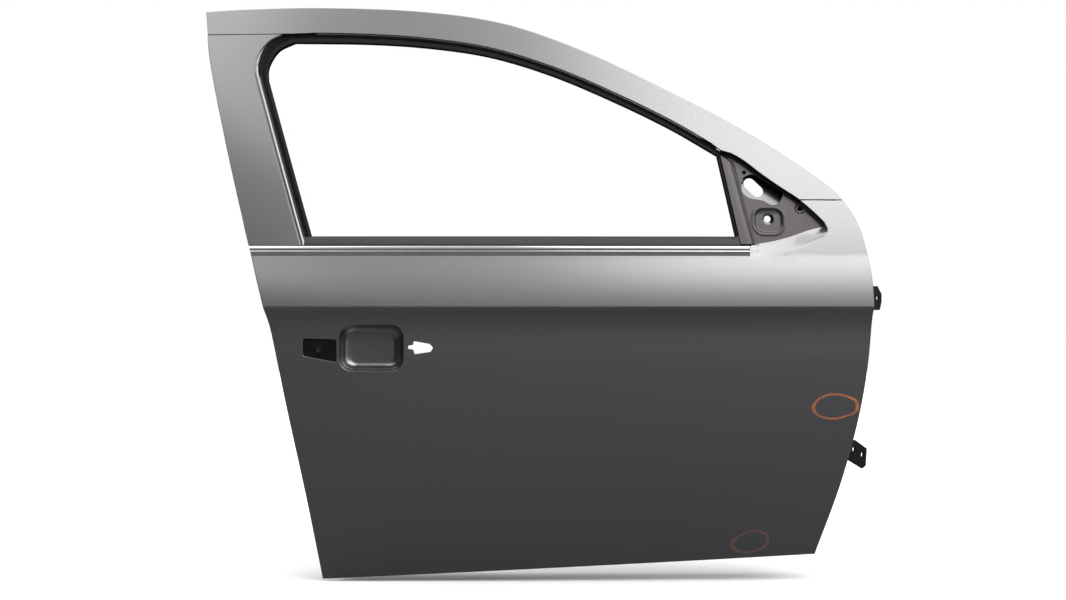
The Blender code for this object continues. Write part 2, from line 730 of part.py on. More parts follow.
def path_rings(path, section, upright_end=False):
    """Rings along a path beside the window; section(i, way) lists (distance outward, depth) pairs.

    The first ring is cut level, and the last one level or upright.
    """
    rings = []
    ways = side_normals(path)
    ways[0] = Vector((1 / ways[0].x, 0.0))
    ways[-1] = Vector((0.0, 1 / ways[-1].y)) if upright_end else Vector((1 / ways[-1].x, 0.0))
    for i, (point, way) in enumerate(zip(path, ways)):
        ring = []
        for out, depth in section(i, way):
            x, z = point[0] + way.x * out, point[1] + way.y * out
            ring.append(Vector((x, skin_y(x, z) + depth, z)))
        rings.append(ring)
    return rings


def glass_run_seal(look):
    """Rubber channel round three sides of the window that the glass slides in."""
    path, widths = window_path(BELT_SEAL_TOP + GAP, BELT_SEAL_TOP + GAP)

    def section(i, way):
        w, wall = widths[i], SEAL_WALL
        near, far = SEAL_OUTER_DEPTH, SEAL_INNER_DEPTH
        inner = max(w - wall, 0.5 * w)
        return [(0, near), (w, near), (w, far), (0, far), (0, far - wall), (inner, far - wall),
                (inner, near + wall), (0, near + wall)]
    return add_object("glass_run_seal", loft(path_rings(path, section)), look)


def window_frame(look):
    """Inner half of the upper frame: one hat section from the rear belt to the mirror sail."""
    path, widths = window_path(CHROME_TOP + FRAME_FOOT_GAP, None)

    def section(i, way):
        near = widths[i] + GAP
        far = FRAME_TOP_WIDTH + (FRAME_REAR_WIDTH - FRAME_TOP_WIDTH) * max(-way.x, 0.0)**2
        start = FLANGE + SEAT_GAP
        line = [(near + FRAME_LIP, start), (near, start), (near, FRAME_DEPTH),
                (far - FRAME_LIP, FRAME_DEPTH), (far, FRAME_DEPTH / 2), (far, start)]
        return folded(line, -FRAME_SHEET)
    return add_object("window_frame", loft(path_rings(path, section, True)), look)


def corner_moulding(look):
    """Thick rubber corner that fills the gap between the glass run and the painted panels."""
    inner = []
    widths = steps(SEAL_REAR_WIDTH, SEAL_TOP_WIDTH, 6)
    path = corner_points(6)
    for point, way, width in zip(path, side_normals(path), widths):
        out = width + GAP
        inner.append((point[0] + way.x * out, point[1] + way.y * out))
    seam_z = SEAM_REAR_Z - SEAM_GAP
    strip = STRIP_WIDTH + SEAT_GAP
    outer = [(inner[-1][0], seam_z), (pillar_side_x(seam_z) + strip, seam_z)]
    outer.append((pillar_side_x(inner[0][1]) + strip, inner[0][1]))
    loop = [point for point in inner if point[1] < seam_z] + outer
    near, far = SEAL_OUTER_DEPTH - CORNER_RUBBER_PROUD, SEAL_OUTER_DEPTH + CORNER_RUBBER_BACK
    rings = [[Vector((x, skin_y(x, z) + depth, z)) for x, z in loop] for depth in (near, far)]
    return add_object("corner_moulding", loft(rings), look)


def belt_rings(profile, start_x, end_x, count):
    """Rings along the belt; profile lists (depth, height) pairs, start_x(z) and end_x(z) give the ends."""
    rings = []
    for share in steps(0.0, 1.0, count):
        ring = []
        for depth, z in profile:
            x = start_x(z) * (1 - share) + end_x(z) * share
            ring.append(Vector((x, skin_y(x, z) + depth, z)))
        rings.append(ring)
    return rings


def belt_moulding(look):
    """Bright strip over the belt line: two rounded bands with a groove between them."""
    low, top, proud = CHROME_LOW, CHROME_TOP, CHROME_PROUD
    tall = top - low
    profile = [(-proud * out, low + tall * up) for out, up in BAND_PROFILE]
    profile = [(-GAP, low)] + profile + [(-GAP, top)]

    def rear(z):
        return rear_x(z) + SHEET

    def front(z):
        return CHROME_FRONT
    rings = belt_rings(profile, rear, front, 14)
    return add_object("belt_moulding", loft(rings), look)


def outer_belt_seal(look):
    """Rubber lip that leans from the bright strip to the glass."""
    low, top, reach = CHROME_TOP + GAP, BELT_SEAL_TOP, BELT_SEAL_REACH
    tall, proud = top - low, BELT_SEAL_PROUD
    profile = [(-proud, low), (-0.6 * proud, low + 0.35 * tall), (0.35 * reach, low + 0.92 * tall),
               (reach, top), (reach, top - BELT_SEAL_LIP), (0.5 * reach, low + 0.6 * tall),
               (0.3 * reach, low)]

    def rear(z):
        return pillar_side_x(z) + STRIP_WIDTH + BELT_SEAL_REAR_GAP

    def front(z):
        return window_front_x(z) + SEAL_FRONT_WIDTH - BELT_SEAL_FRONT_GAP
    return add_object("outer_belt_seal", loft(belt_rings(profile, rear, front, 14)), look)


def belt_rails(look):
    """Two hat-section rails that stiffen the glass slot: one on the skin, one on the inner panel."""
    low, top = RAIL_LOW, RAIL_TOP
    lip, near, far = RAIL_LIP, SHEET + SEAT_GAP, RAIL_DEPTH
    line = [(near, low), (near, low + lip), (far, low + 1.5 * lip), (far, top - 1.5 * lip),
            (near, top - lip), (near, top)]
    hat = folded(line, -SHEET)

    def rear(z):
        return RAIL_ENDS[0]

    def front(z):
        return RAIL_ENDS[1]
    add_object("outer_belt_rail", loft(belt_rings(hat, rear, front, 14)), look)
    inner = []
    for x in INNER_RAIL_ENDS:
        inner.append([Vector((x, INNER_Y - depth + SHEET, z + INNER_RAIL_RISE)) for depth, z in hat])
    add_object("inner_belt_rail", loft(inner), look)


def mirror_panel(look):
    """Recessed panel that carries the mirror: holes, a dished pad and a strip along the window."""
    floor = SAIL_DEPTH + SHEET + SEAT_GAP
    (top_x, top), (foot_x, foot) = SAIL_RIDGE_TOP, SAIL_RIDGE_FOOT
    tuck = SAIL_TUCK
    upper = [(x, sail_upper_z(x) + tuck) for x in steps(top_x, SAIL_UPPER[-1][0], 8)]
    lower_x = steps(foot_x, SAIL_FLOOR[-1][0], 6)
    lower = [(x, floor_z(x) - tuck) for x in lower_x[:0:-1]] + [(foot_x, floor_z(foot_x) + tuck)]
    tip = [(SAIL_TIP[0] + tuck, SAIL_TIP[1])]
    side = [(top_x + (foot_x - top_x) * (z - top) / (foot - top), z) for z in steps(foot, top, 4)]
    pad = rounded(PAD_CENTRE, PAD_SIZE, PAD_CORNER)
    holes = [circle(centre, radius, 12) for centre, radius in SAIL_HOLES]
    loop = upper + tip + lower + side[1:-1]
    bm = sheet([loop, pad, SAIL_OPENING] + holes, on_skin(floor), (0, -1, 0), COLUMNS, FRAME_ROWS)

    def up_to_pad(x, z, way):
        u = PAD_CENTRE[0] + PAD_FACE * (x - PAD_CENTRE[0])
        v = PAD_CENTRE[1] + PAD_FACE * (z - PAD_CENTRE[1])
        return pad_point(u, v, floor)
    rim = fold(bm, open_edges(bm, near_box(PAD_CENTRE, PAD_SIZE, NEAR)), [up_to_pad])
    close_with_hole(bm, rim, [pad_point(x, z, floor) for x, z in circle(*STUD_HOLE, 12)])

    def on_side(point):
        ridge_x = top_x + (foot_x - top_x) * (point.z - top) / (foot - top)
        return abs(point.x - ridge_x) < SAIL_RIDGE_BAND and foot - NEAR < point.z < top + NEAR

    def ridge(x, z, way):
        u = x - SAIL_RIDGE_SLOPE
        return Vector((u, skin_y(u, z) + floor - SAIL_RIDGE_RISE, z))

    def to_window(depth):
        def move(x, z, way):
            u = window_front_x(z) + SEAL_FRONT_WIDTH + SEAT_GAP
            return Vector((u, skin_y(u, z) + depth, z))
        return move
    edge_depth = floor - SAIL_RIDGE_EDGE * SAIL_RIDGE_RISE
    fold(bm, open_edges(bm, on_side), [ridge, to_window(edge_depth), to_window(SEAL_INNER_DEPTH)])
    face_towards(bm, (0, -1, 0))
    return solidify(add_object("mirror_panel", bm, look), SHEET)


def pad_point(x, z, floor):
    """Place on the mirror pad's flat face, which lies PAD_DROP deeper than the recessed floor."""
    centre_x, centre_z = PAD_CENTRE
    lean_x = (centre_x - FLATTEST_X) / PLAN_RADIUS
    rise = (centre_z - SHOULDER_HEIGHT) / FRAME_HEIGHT
    lean_z = FRAME_FOOT_SLOPE + (FRAME_TOP_SLOPE - FRAME_FOOT_SLOPE) * rise
    centre_y = skin_y(centre_x, centre_z) + floor + PAD_DROP
    return Vector((x, centre_y + lean_x * (x - centre_x) + lean_z * (z - centre_z), z))


def close_with_hole(bm, rim, hole):
    """Fill an open loop with a floor that keeps a hole."""
    verts = [bm.verts.new(point) for point in hole]
    ring = [bm.edges.new((a, b)) for a, b in zip(verts, verts[1:] + verts[:1])]
    bmesh.ops.triangle_fill(bm, use_beauty=True, edges=rim + ring)


def mirror_reinforcement(look):
    """Second layer behind the mirror panel, which also closes the frame's front corner."""
    rise = INNER_CORNER_INSET
    left_top_x = window_front_x(SAIL_RIDGE_TOP[1]) + SEAL_FRONT_WIDTH + 2 * SEAT_GAP
    foot_x = window_front_x(INNER_CORNER_LOW) + SEAL_FRONT_WIDTH + 2 * SEAT_GAP
    top = [(x, top_z(x) - rise) for x in steps(left_top_x, TOP_EDGE[-1][0] - rise, 6)]
    front = [(front_x(z) - rise, z) for z in steps(INNER_CORNER_LOW, INNER_CORNER_TOP, 3)][::-1]
    loop = top + front + [(foot_x, INNER_CORNER_LOW), (left_top_x, SAIL_RIDGE_TOP[1])]
    slot = slot_loop(BACK_SLOT_CENTRE, BACK_SLOT_LENGTH, BACK_SLOT_WIDTH, math.radians(-45))
    bm = sheet([loop, slot, circle(BACK_HOLE[0], BACK_HOLE[1], 12)], on_skin(SAIL_BACK_DEPTH), (0, -1, 0),
               COLUMNS, FRAME_ROWS)

    def at_rim(point):
        at_front = point.x > front_x(point.z) - rise - EDGE_BAND
        at_top = point.z > top_z(point.x) - rise - EDGE_BAND
        clear = point.z > INNER_CORNER_LOW + NEAR and point.x > left_top_x + NEAR
        return (at_front or at_top) and clear

    fold(bm, open_edges(bm, at_rim), flange_moves(FLANGE + 2 * GAP))
    face_towards(bm, (0, -1, 0))
    return solidify(add_object("mirror_reinforcement", bm, look), FRAME_SHEET)


def slot_loop(centre, length, width, turn, count=5):
    """Slot with round ends, turned about its centre."""
    loop = []
    for end in (1, -1):
        for i in range(count + 1):
            angle = math.pi * (i / count - 0.5) + (0 if end == 1 else math.pi)
            x = end * (length - width) / 2 + width / 2 * math.cos(angle)
            z = width / 2 * math.sin(angle)
            loop.append((centre[0] + x * math.cos(turn) - z * math.sin(turn),
                         centre[1] + x * math.sin(turn) + z * math.cos(turn)))
    return loop


def handle_carrier(look):
    """Plastic carrier plate behind the handle's openings, with a bearing eye for the handle."""
    depth = SHEET + SEAT_GAP
    low, high = carrier_span()
    centre = ((low[0] + high[0]) / 2, (low[1] + high[1]) / 2)
    outline = rounded(centre, (high[0] - low[0], high[1] - low[1]), CARRIER_MARGIN)
    grown = [size + CARRIER_MARGIN / 2 for size in BOWL_SIZE]
    bowl = rounded(BOWL_CENTRE, grown, BOWL_CORNER)
    front = shifted(rounded(FRONT_WELL[0], FRONT_WELL[1], WELL_CORNER, 2), BOWL_FRONT_X)
    eye_centre = (BOWL_REAR_X + CARRIER_EYE[0][0], CARRIER_EYE[0][1])
    eye = circle(eye_centre, CARRIER_EYE[1], 10)
    bm = sheet([outline, bowl, front, eye], on_skin(depth), (0, -1, 0), COLUMNS, SKIN_ROWS)
    rim = open_edges(bm, near_box(eye_centre, (2 * CARRIER_EYE[1], 2 * CARRIER_EYE[1])))
    fold(bm, rim, flange_moves(depth + EYE_DEPTH))
    face_towards(bm, (0, -1, 0))
    return solidify(add_object("handle_carrier", bm, look), CARRIER_SHEET)


def wall_stations():
    """Places round the rear, sill and front edges, each with its inward shares in x and z."""
    rear = [(rear_x(z), z, 1.0, 0.0) for z in [WALL_TOP] + SKIN_ROWS[::-1]]
    rear_corner = [(rear_x(SILL_REAR_Z), SILL_REAR_Z, 1.0, 1.0)]
    first, last = rear_x(SILL_REAR_Z) + CORNER_LENGTH, front_x(SILL_FRONT_Z) - CORNER_LENGTH
    sill_x = [x for x in COLUMNS if first < x < last]
    sill = [(x, sill_z(x), 0.0, 1.0) for x in sill_x]
    front_corner = [(front_x(SILL_FRONT_Z), SILL_FRONT_Z, -1.0, 1.0)]
    front = [(front_x(z), z, -1.0, 0.0) for z in FRONT_ROWS + [WALL_TOP]]
    return rear + rear_corner + sill + front_corner + front


def wall_point(station, inset, share):
    """Place on the inner panel's side: inset from the door's edge, share of the way to the main wall."""
    x, z, to_x, to_z = station
    u, v = x + to_x * inset, z + to_z * inset
    foot_y = skin_y(x + to_x * WALL_INSET, z + to_z * WALL_INSET) + SHEET + HEM_GAP
    if inset < WALL_INSET:
        return Vector((u, skin_y(u, v) + SHEET + HEM_GAP, v))
    return Vector((u, foot_y + (INNER_Y - foot_y) * share, v))


def inner_loops():
    """The four loops of the inner panel: hem flange, foot of the wall, wall bend, edge of the main wall."""
    loops = [[], [], [], []]
    for station in wall_stations():
        x, z, to_x, to_z = station
        loops[0].append(wall_point(station, FLANGE_INSET, 0.0))
        foot = wall_point(station, WALL_INSET, 0.0)
        loops[1].append(foot)
        if to_x < 0 and to_z == 0:
            wall_x = min(HINGE_WALL_X, foot.x - HINGE_WALL_STEP)
            height = max(z, sill_z(wall_x) + WALL_INSET + WALL_LEAN + HINGE_WALL_FOOT)
            bend_y = max(HINGE_WALL_Y, skin_y(wall_x, height) + 4 * SHEET)
            loops[2].append(Vector((wall_x, bend_y, height)))
            loops[3].append(Vector((wall_x, INNER_Y, height)))
        else:
            loops[2].append(wall_point(station, WALL_INSET + WALL_BEND * WALL_LEAN, WALL_BEND))
            loops[3].append(wall_point(station, WALL_INSET + WALL_LEAN, 1.0))
    return loops


def inner_panel(look):
    """Pressed inner panel: hem flange, side walls, and a main wall with service and speaker openings."""
    bm = bmesh.new()
    rows = [[bm.verts.new(point) for point in loop] for loop in inner_loops()]
    for near, far in zip(rows, rows[1:]):
        for i in range(len(near) - 1):
            bm.faces.new((near[i], near[i + 1], far[i + 1], far[i]))
    rim = rows[-1]
    top = [bm.verts.new((vert.co.x, INNER_Y, INNER_TOP)) for vert in (rim[-1], rim[0])]
    loop = rim + top
    edges = [bm.edges.get((a, b)) or bm.edges.new((a, b)) for a, b in zip(loop, loop[1:] + loop[:1])]
    holes = [rounded(centre, size, SERVICE_CORNER) for centre, size in SERVICE_HOLES]
    holes.append(circle(SPEAKER_CENTRE, SPEAKER_RADIUS, 28))
    for hole in holes:
        verts = [bm.verts.new((x, INNER_Y, z)) for x, z in hole]
        edges += [bm.edges.new((a, b)) for a, b in zip(verts, verts[1:] + verts[:1])]
    bmesh.ops.triangle_fill(bm, use_beauty=True, edges=edges)
    face_towards(bm, (0, -1, 0))
    panel = solidify(add_object("inner_panel", bm, look), SHEET)
    combine(panel, box_cutter("latch_cutter", latch_box()), "DIFFERENCE")
    bores = bmesh.new()
    for z in bolt_heights():
        near = (HINGE_WALL_X - BOLT_END, DOOR_BOLT_Y, z)
        far = (HINGE_WALL_X + BOLT_END, DOOR_BOLT_Y, z)
        add_rod(bores, near, far, BOLT_HOLE_RADIUS)
    combine(panel, add_cutter("hinge_bolt_cutter", bores), "DIFFERENCE")
    return panel


def latch_box():
    low_y, high_y, low_z, high_z = LATCH_SLOT
    middle = (low_z + high_z) / 2
    return (rear_x(middle), low_y, low_z), (rear_x(middle) + LATCH_CUT, high_y, high_z)


def box_cutter(name, corners):
    low, high = Vector(corners[0]), Vector(corners[1])
    bm = bmesh.new()
    bmesh.ops.create_cube(bm, size=1.0)
    for vert in bm.verts:
        vert.co = Vector([a + (b - a) * (c + 0.5) for a, b, c in zip(low, high, vert.co)])
    return add_cutter(name, bm)


def bolt_heights(centres=(UPPER_HINGE_Z, LOWER_HINGE_Z)):
    return [centre + side * DOOR_BOLT_SPREAD for centre in centres for side in (1, -1)]


def add_rod(bm, start, end, radius, segments=16):
    """Add a closed round bar between two places to a bmesh."""
    start, end = Vector(start), Vector(end)
    way = end - start
    place = way.to_track_quat("Z", "Y").to_matrix().to_4x4()
    place.translation = (start + end) / 2
    bmesh.ops.create_cone(bm, cap_ends=True, segments=segments, radius1=radius, radius2=radius,
                          depth=way.length, matrix=place)


def rear_wall_x(y, z):
    """Cavity side of the inner panel's rear wall."""
    foot = rear_x(z) + WALL_INSET
    foot_y = skin_y(foot, z) + SHEET + HEM_GAP
    return foot + WALL_LEAN * (y - foot_y) / (INNER_Y - foot_y)


def latch_reinforcement(look):
    """Plate round the latch's slot, on the cavity side of the rear wall."""
    low_y, high_y, low_z, high_z = LATCH_SLOT
    middle = ((low_y + high_y) / 2, (low_z + high_z) / 2)
    loops = []
    for rim, corner in ((LATCH_RIM, PLATE_CORNER), (LATCH_CLEARANCE, PLATE_CORNER / 2)):
        loops.append(rounded(middle, (high_y - low_y + 2 * rim, high_z - low_z + 2 * rim), corner, 2))

    def place(y, z):
        return Vector((rear_wall_x(y, z) + 2 * GAP, y, z))
    bm = sheet(loops, place, (-1, 0, 0))
    return solidify(add_object("latch_reinforcement", bm, look), FRAME_SHEET)


def plate_on_hinge_wall(name, look, x, facing, y_span, height, centre, thickness):
    """Rectangular plate across the X axis with holes for the two bolts of a hinge."""
    middle = ((y_span[0] + y_span[1]) / 2, centre)
    outline = rounded(middle, (y_span[1] - y_span[0], height), PLATE_CORNER, 2)
    bores = [circle((DOOR_BOLT_Y, z), BOLT_HOLE_RADIUS, 16) for z in bolt_heights((centre,))]

    def place(y, z):
        return Vector((x, y, z))
    bm = sheet([outline] + bores, place, (facing, 0, 0))
    return solidify(add_object(name, bm, look), thickness)


def prism(outline, low, top):
    """Closed solid of a flat outline in plan between two heights."""
    return loft([[Vector((x, y, low)) for x, y in outline], [Vector((x, y, top)) for x, y in outline]])


def arm_outline(root_a, root_b, first, last, count=10):
    """Plan of a hinge arm: from its root round the pin, from the first to the last angle."""
    arc = []
    for turn in steps(first, last, count):
        angle = math.radians(turn)
        across, up = KNUCKLE_RADIUS * math.cos(angle), KNUCKLE_RADIUS * math.sin(angle)
        arc.append((PIN_X + across, PIN_Y + up))
    return [root_a] + arc + [root_b]


def pin_bore(name, centre):
    bore = bmesh.new()
    low, top = centre - 2 * DOOR_KNUCKLE, centre + 2 * DOOR_KNUCKLE
    add_rod(bore, (PIN_X, PIN_Y, low), (PIN_X, PIN_Y, top), PIN_RADIUS + GAP, 20)
    return add_cutter(name, bore)


def door_leaf(name, centre, look):
    """Door side of a hinge: a bolted plate with an arm and knuckle above and below the body side's."""
    face = HINGE_WALL_X + SHEET + GAP
    leaf = plate_on_hinge_wall(name, look, face, -1, DOOR_LEAF_Y, DOOR_LEAF_HEIGHT, centre, LEAF_SHEET)
    root_x = face + 0.5 * LEAF_SHEET
    near_y = DOOR_LEAF_Y[0] + DOOR_ARM_INSET
    outline = arm_outline((root_x, near_y + DOOR_ARM_ROOT), (root_x, near_y), 51, -149)
    clear = BODY_KNUCKLE + KNUCKLE_GAP
    for part, (low, top) in (("upper", (clear, DOOR_KNUCKLE)), ("lower", (-DOOR_KNUCKLE, -clear))):
        arm = add_cutter(f"{name}_{part}_arm", prism(outline, centre + low, centre + top))
        combine(leaf, arm, "UNION")
    combine(leaf, pin_bore(f"{name}_bore", centre), "DIFFERENCE")
    return leaf


def body_leaf(name, centre, root, outline, bores, look):
    """Car side of a hinge: a cranked arm from the pin to a plate with two bolt holes."""
    along = Vector((math.cos(LEAF_ANGLE), math.sin(LEAF_ANGLE), 0.0))
    out = Vector((math.sin(LEAF_ANGLE), -math.cos(LEAF_ANGLE), 0.0))
    start = Vector((root[0], root[1], 0.0))

    def place(s, z):
        return start + along * s + Vector((0.0, 0.0, centre + z))
    bm = sheet([outline] + [circle(bore, LEAF_HOLE_RADIUS, 16) for bore in bores], place, out)
    leaf = solidify(add_object(name, bm, look, "car"), LEAF_SHEET)
    middle = start + along * LEAF_SHEET - out * LEAF_SHEET / 2
    reach = middle - Vector((PIN_X, PIN_Y, 0.0))
    angle = math.degrees(math.atan2(reach.y, reach.x))
    side = Vector((-reach.y, reach.x, 0.0)).normalized() * LEAF_SHEET
    root_a, root_b = middle + side, middle - side
    arm_plan = arm_outline((root_a.x, root_a.y), (root_b.x, root_b.y), angle + 80, angle + 280)
    arm = add_cutter(f"{name}_arm", prism(arm_plan, centre - BODY_KNUCKLE, centre + BODY_KNUCKLE))
    arm.parent = EMPTIES["car"]
    combine(leaf, arm, "UNION")
    bore = pin_bore(f"{name}_bore", centre)
    bore.parent = EMPTIES["car"]
    combine(leaf, bore, "DIFFERENCE")
    return leaf


def hinge_pin(name, centre, look):
    """Headed pin that stands in the knuckles."""
    top = centre + DOOR_KNUCKLE + GAP
    low = centre - DOOR_KNUCKLE - PIN_TAIL
    head, head_height = 1.6 * PIN_RADIUS, 0.75 * PIN_RADIUS
    profile = [(0.0, top + head_height), (0.8 * head, top + head_height), (head, top + 0.7 * head_height),
               (head, top), (PIN_RADIUS, top), (PIN_RADIUS, low + PIN_CHAMFER),
               (PIN_RADIUS - PIN_CHAMFER, low), (0.0, low)]
    bm = bmesh.new()
    verts = [bm.verts.new((PIN_X + r, PIN_Y, z)) for r, z in profile]
    edges = [bm.edges.new((a, b)) for a, b in zip(verts, verts[1:])]
    bmesh.ops.spin(bm, geom=verts + edges, cent=(PIN_X, PIN_Y, 0.0), axis=(0, 0, 1),
                   angle=2 * math.pi, steps=20)
    bmesh.ops.remove_doubles(bm, verts=bm.verts[:], dist=1e-6)
    bmesh.ops.recalc_face_normals(bm, faces=bm.faces[:])
    return add_object(name, bm, look)


def hinge_bolt(name, z, look):
    """Bolt of a hinge, through leaf, inner panel and reinforcement."""
    seat = HINGE_WALL_X + SHEET + LEAF_SHEET + 2 * GAP
    end = HINGE_WALL_X - BOLT_END
    head, shank = bmesh.new(), bmesh.new()
    add_rod(head, (seat, DOOR_BOLT_Y, z), (seat + BOLT_HEAD_HEIGHT, DOOR_BOLT_Y, z), BOLT_HEAD, 6)
    inside = seat + BOLT_HEAD_HEIGHT / 5
    add_rod(shank, (end, DOOR_BOLT_Y, z), (inside, DOOR_BOLT_Y, z), BOLT_RADIUS, 12)
    bolt = add_object(name, head, look)
    combine(bolt, add_cutter(f"{name}_shank", shank), "UNION")
    return bolt


def side_beam(look):
    """Crash beam: an open tube inside the door."""
    start = Vector((BEAM_FRONT[0], BEAM_Y, BEAM_FRONT[1]))
    end = Vector((BEAM_REAR[0], BEAM_Y, BEAM_REAR[1]))
    way = end - start
    place = way.to_track_quat("Z", "Y").to_matrix().to_4x4()
    place.translation = (start + end) / 2
    bm = bmesh.new()
    bmesh.ops.create_cone(bm, cap_ends=False, segments=20, radius1=BEAM_RADIUS, radius2=BEAM_RADIUS,
                          depth=way.length, matrix=place)
    return solidify(add_object("side_impact_beam", bm, look), BEAM_WALL)


def strip_bracket(name, line, low, top, look):
    """Folded strip, drawn in plan, between two heights."""
    return add_object(name, prism([tuple(p) for p in folded(line, BRACKET_SHEET)], low, top), look)


def wall_bracket(name, pad, pad_y, bend_x, foot, centre, height, look):
    """Bracket from a pad at depth pad_y to the inner panel's main wall, all at one height."""
    wall_y = INNER_Y - GAP - BRACKET_SHEET
    line = [(foot, wall_y), (bend_x, wall_y), (bend_x, pad_y), (pad, pad_y)]
    return strip_bracket(name, line, centre - height / 2, centre + height / 2, look)


def beam_brackets(look):
    pad_y = BEAM_Y + BEAM_RADIUS + GAP
    wall_x = HINGE_WALL_X - GAP
    pad = BEAM_FRONT[0] - FRONT_BRACKET_REACH
    front = [(pad, pad_y), (wall_x, pad_y), (wall_x, pad_y + FRONT_BRACKET_TAB)]
    half = BRACKET_HEIGHT / 2
    strip_bracket("beam_bracket_front", front, BEAM_FRONT[1] - half, BEAM_FRONT[1] + half, look)
    bend = BEAM_REAR[0] - REAR_BRACKET_BEND
    wall_bracket("beam_bracket_rear", BEAM_REAR[0] + REAR_BRACKET_REACH, pad_y, bend, bend - BRACKET_FOOT,
                 BEAM_REAR[1], BRACKET_HEIGHT, look)


def guide_y(x, z, low):
    """Depth of the glass at height z below the belt, straight between its belt and lowest places."""
    top_y = skin_y(x, GUIDE_TOP) + GLASS_DEPTH + SHOULDER_SLOPE * (SKIN_TOP - GUIDE_TOP)
    low_y = skin_y(x, low) + GUIDE_LOW_DEPTH
    return top_y + (low_y - top_y) * (z - GUIDE_TOP) / (low - GUIDE_TOP)


def glass_guide(name, edge, side, low, look):
    """Channel that carries the glass run down into the door; side is -1 at the rear and 1 at the front."""
    wide, deep, wall = GUIDE_WIDTH, GUIDE_DEPTH, GUIDE_WALL
    section = [(0, 0), (wide, 0), (wide, deep), (0, deep), (0, deep - wall), (wide - wall, deep - wall),
               (wide - wall, wall), (0, wall)]
    rings = []
    for z in steps(GUIDE_TOP, low, 5):
        x0 = edge(z)
        y0 = guide_y(x0, z, low) - deep / 2
        rings.append([Vector((x0 + side * out, y0 + depth, z)) for out, depth in section])
    return add_object(name, loft(rings), look)


def guide_bracket(name, edge, side, low, z, look):
    """Bracket that holds a glass guide to the inner panel's main wall."""
    half = GUIDE_BRACKET_HEIGHT / 2
    ends = (z - half, z + half)
    xs = [edge(end) for end in ends]
    back = [guide_y(x, end, low) + GUIDE_DEPTH / 2 for x, end in zip(xs, ends)]
    rear_end = min(xs) - (GUIDE_WIDTH if side == -1 else 0.0)
    bend = rear_end + GUIDE_BRACKET_BEND
    wall_bracket(name, rear_end + GUIDE_WIDTH, max(back) + GAP, bend, bend - GUIDE_BRACKET_FOOT,
                 z, GUIDE_BRACKET_HEIGHT, look)


def glass_guides(look):
    glass_guide("glass_guide_rear", window_rear_x, -1, REAR_GUIDE_LOW, look)
    glass_guide("glass_guide_front", window_front_x, 1, FRONT_GUIDE_LOW, look)
    for place, z in zip(("upper", "lower"), REAR_BRACKET_HEIGHTS):
        guide_bracket(f"rear_guide_{place}_bracket", window_rear_x, -1, REAR_GUIDE_LOW, z, look)
    guide_bracket("front_guide_bracket", window_front_x, 1, FRONT_GUIDE_LOW, FRONT_GUIDE_BRACKET_Z, look)


def hole_pair(first, step):
    return [first, (first[0] + step[0], first[1] + step[1])]


def main():
    for piece in list(bpy.data.objects):
        bpy.data.objects.remove(piece, do_unlink=True)
    for collection in (DOOR, CUTTERS):
        bpy.context.scene.collection.children.link(collection)
    upper_holes = hole_pair(UPPER_LEAF_HOLE, (LEAF_HOLE_SPACING, 0.0))
    lower_holes = hole_pair(LOWER_LEAF_HOLE, LOWER_LEAF_HOLE_STEP)
    along = UPPER_LEAF_HOLE[0] + LEAF_HOLE_SPACING / 2
    origin = Vector((UPPER_LEAF_ROOT[0] + along * math.cos(LEAF_ANGLE),
                     UPPER_LEAF_ROOT[1] + along * math.sin(LEAF_ANGLE), UPPER_HINGE_Z))
    for side in ("door", "car"):
        empty = bpy.data.objects.new(f"{side}_side_on_pin_axis", None)
        empty.location = Vector((PIN_X, PIN_Y, 0.0)) - origin
        DOOR.objects.link(empty)
        EMPTIES[side] = empty

    paint = material("graphite_paint", (0.045, 0.044, 0.048), 0.28, 0.6)
    primer = material("inner_paint", (0.05, 0.049, 0.053), 0.45, 0.4)
    bright = material("bright_trim", (0.80, 0.81, 0.83), 0.12, 1.0)
    rubber = material("black_rubber", (0.018, 0.018, 0.019), 0.75, 0.0)
    black = material("black_coating", (0.012, 0.012, 0.013), 0.45, 0.2)
    plastic = material("black_plastic", (0.015, 0.015, 0.016), 0.5, 0.0)
    steel = material("plated_steel", (0.42, 0.41, 0.38), 0.35, 1.0)

    outer_skin(paint)
    header_outer(paint)
    b_pillar_outer(paint)
    mirror_panel(paint)
    window_frame(primer)
    glass_run_seal(rubber)
    corner_moulding(rubber)
    belt_moulding(bright)
    outer_belt_seal(rubber)
    belt_rails(primer)
    mirror_reinforcement(primer)
    handle_carrier(plastic)
    inner_panel(paint)
    latch_reinforcement(primer)
    side_beam(black)
    beam_brackets(black)
    glass_guides(black)
    shapes = ((UPPER_HINGE_Z, UPPER_LEAF_ROOT, UPPER_LEAF, upper_holes),
              (LOWER_HINGE_Z, LOWER_LEAF_ROOT, LOWER_LEAF, lower_holes))
    for place, (centre, root, outline, bores) in zip(("upper", "lower"), shapes):
        plate_on_hinge_wall(f"{place}_hinge_reinforcement", primer, HINGE_WALL_X - GAP, 1,
                            HINGE_PLATE_Y, HINGE_PLATE_HEIGHT, centre, HINGE_PLATE_SHEET)
        door_leaf(f"{place}_hinge_door_leaf", centre, black)
        body_leaf(f"{place}_hinge_body_leaf", centre, root, outline, bores, black)
        hinge_pin(f"{place}_hinge_pin", centre, steel)
        for number, z in enumerate(bolt_heights((centre,)), 1):
            hinge_bolt(f"{place}_hinge_bolt_{number}", z, steel)


main()
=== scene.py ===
import json
import math

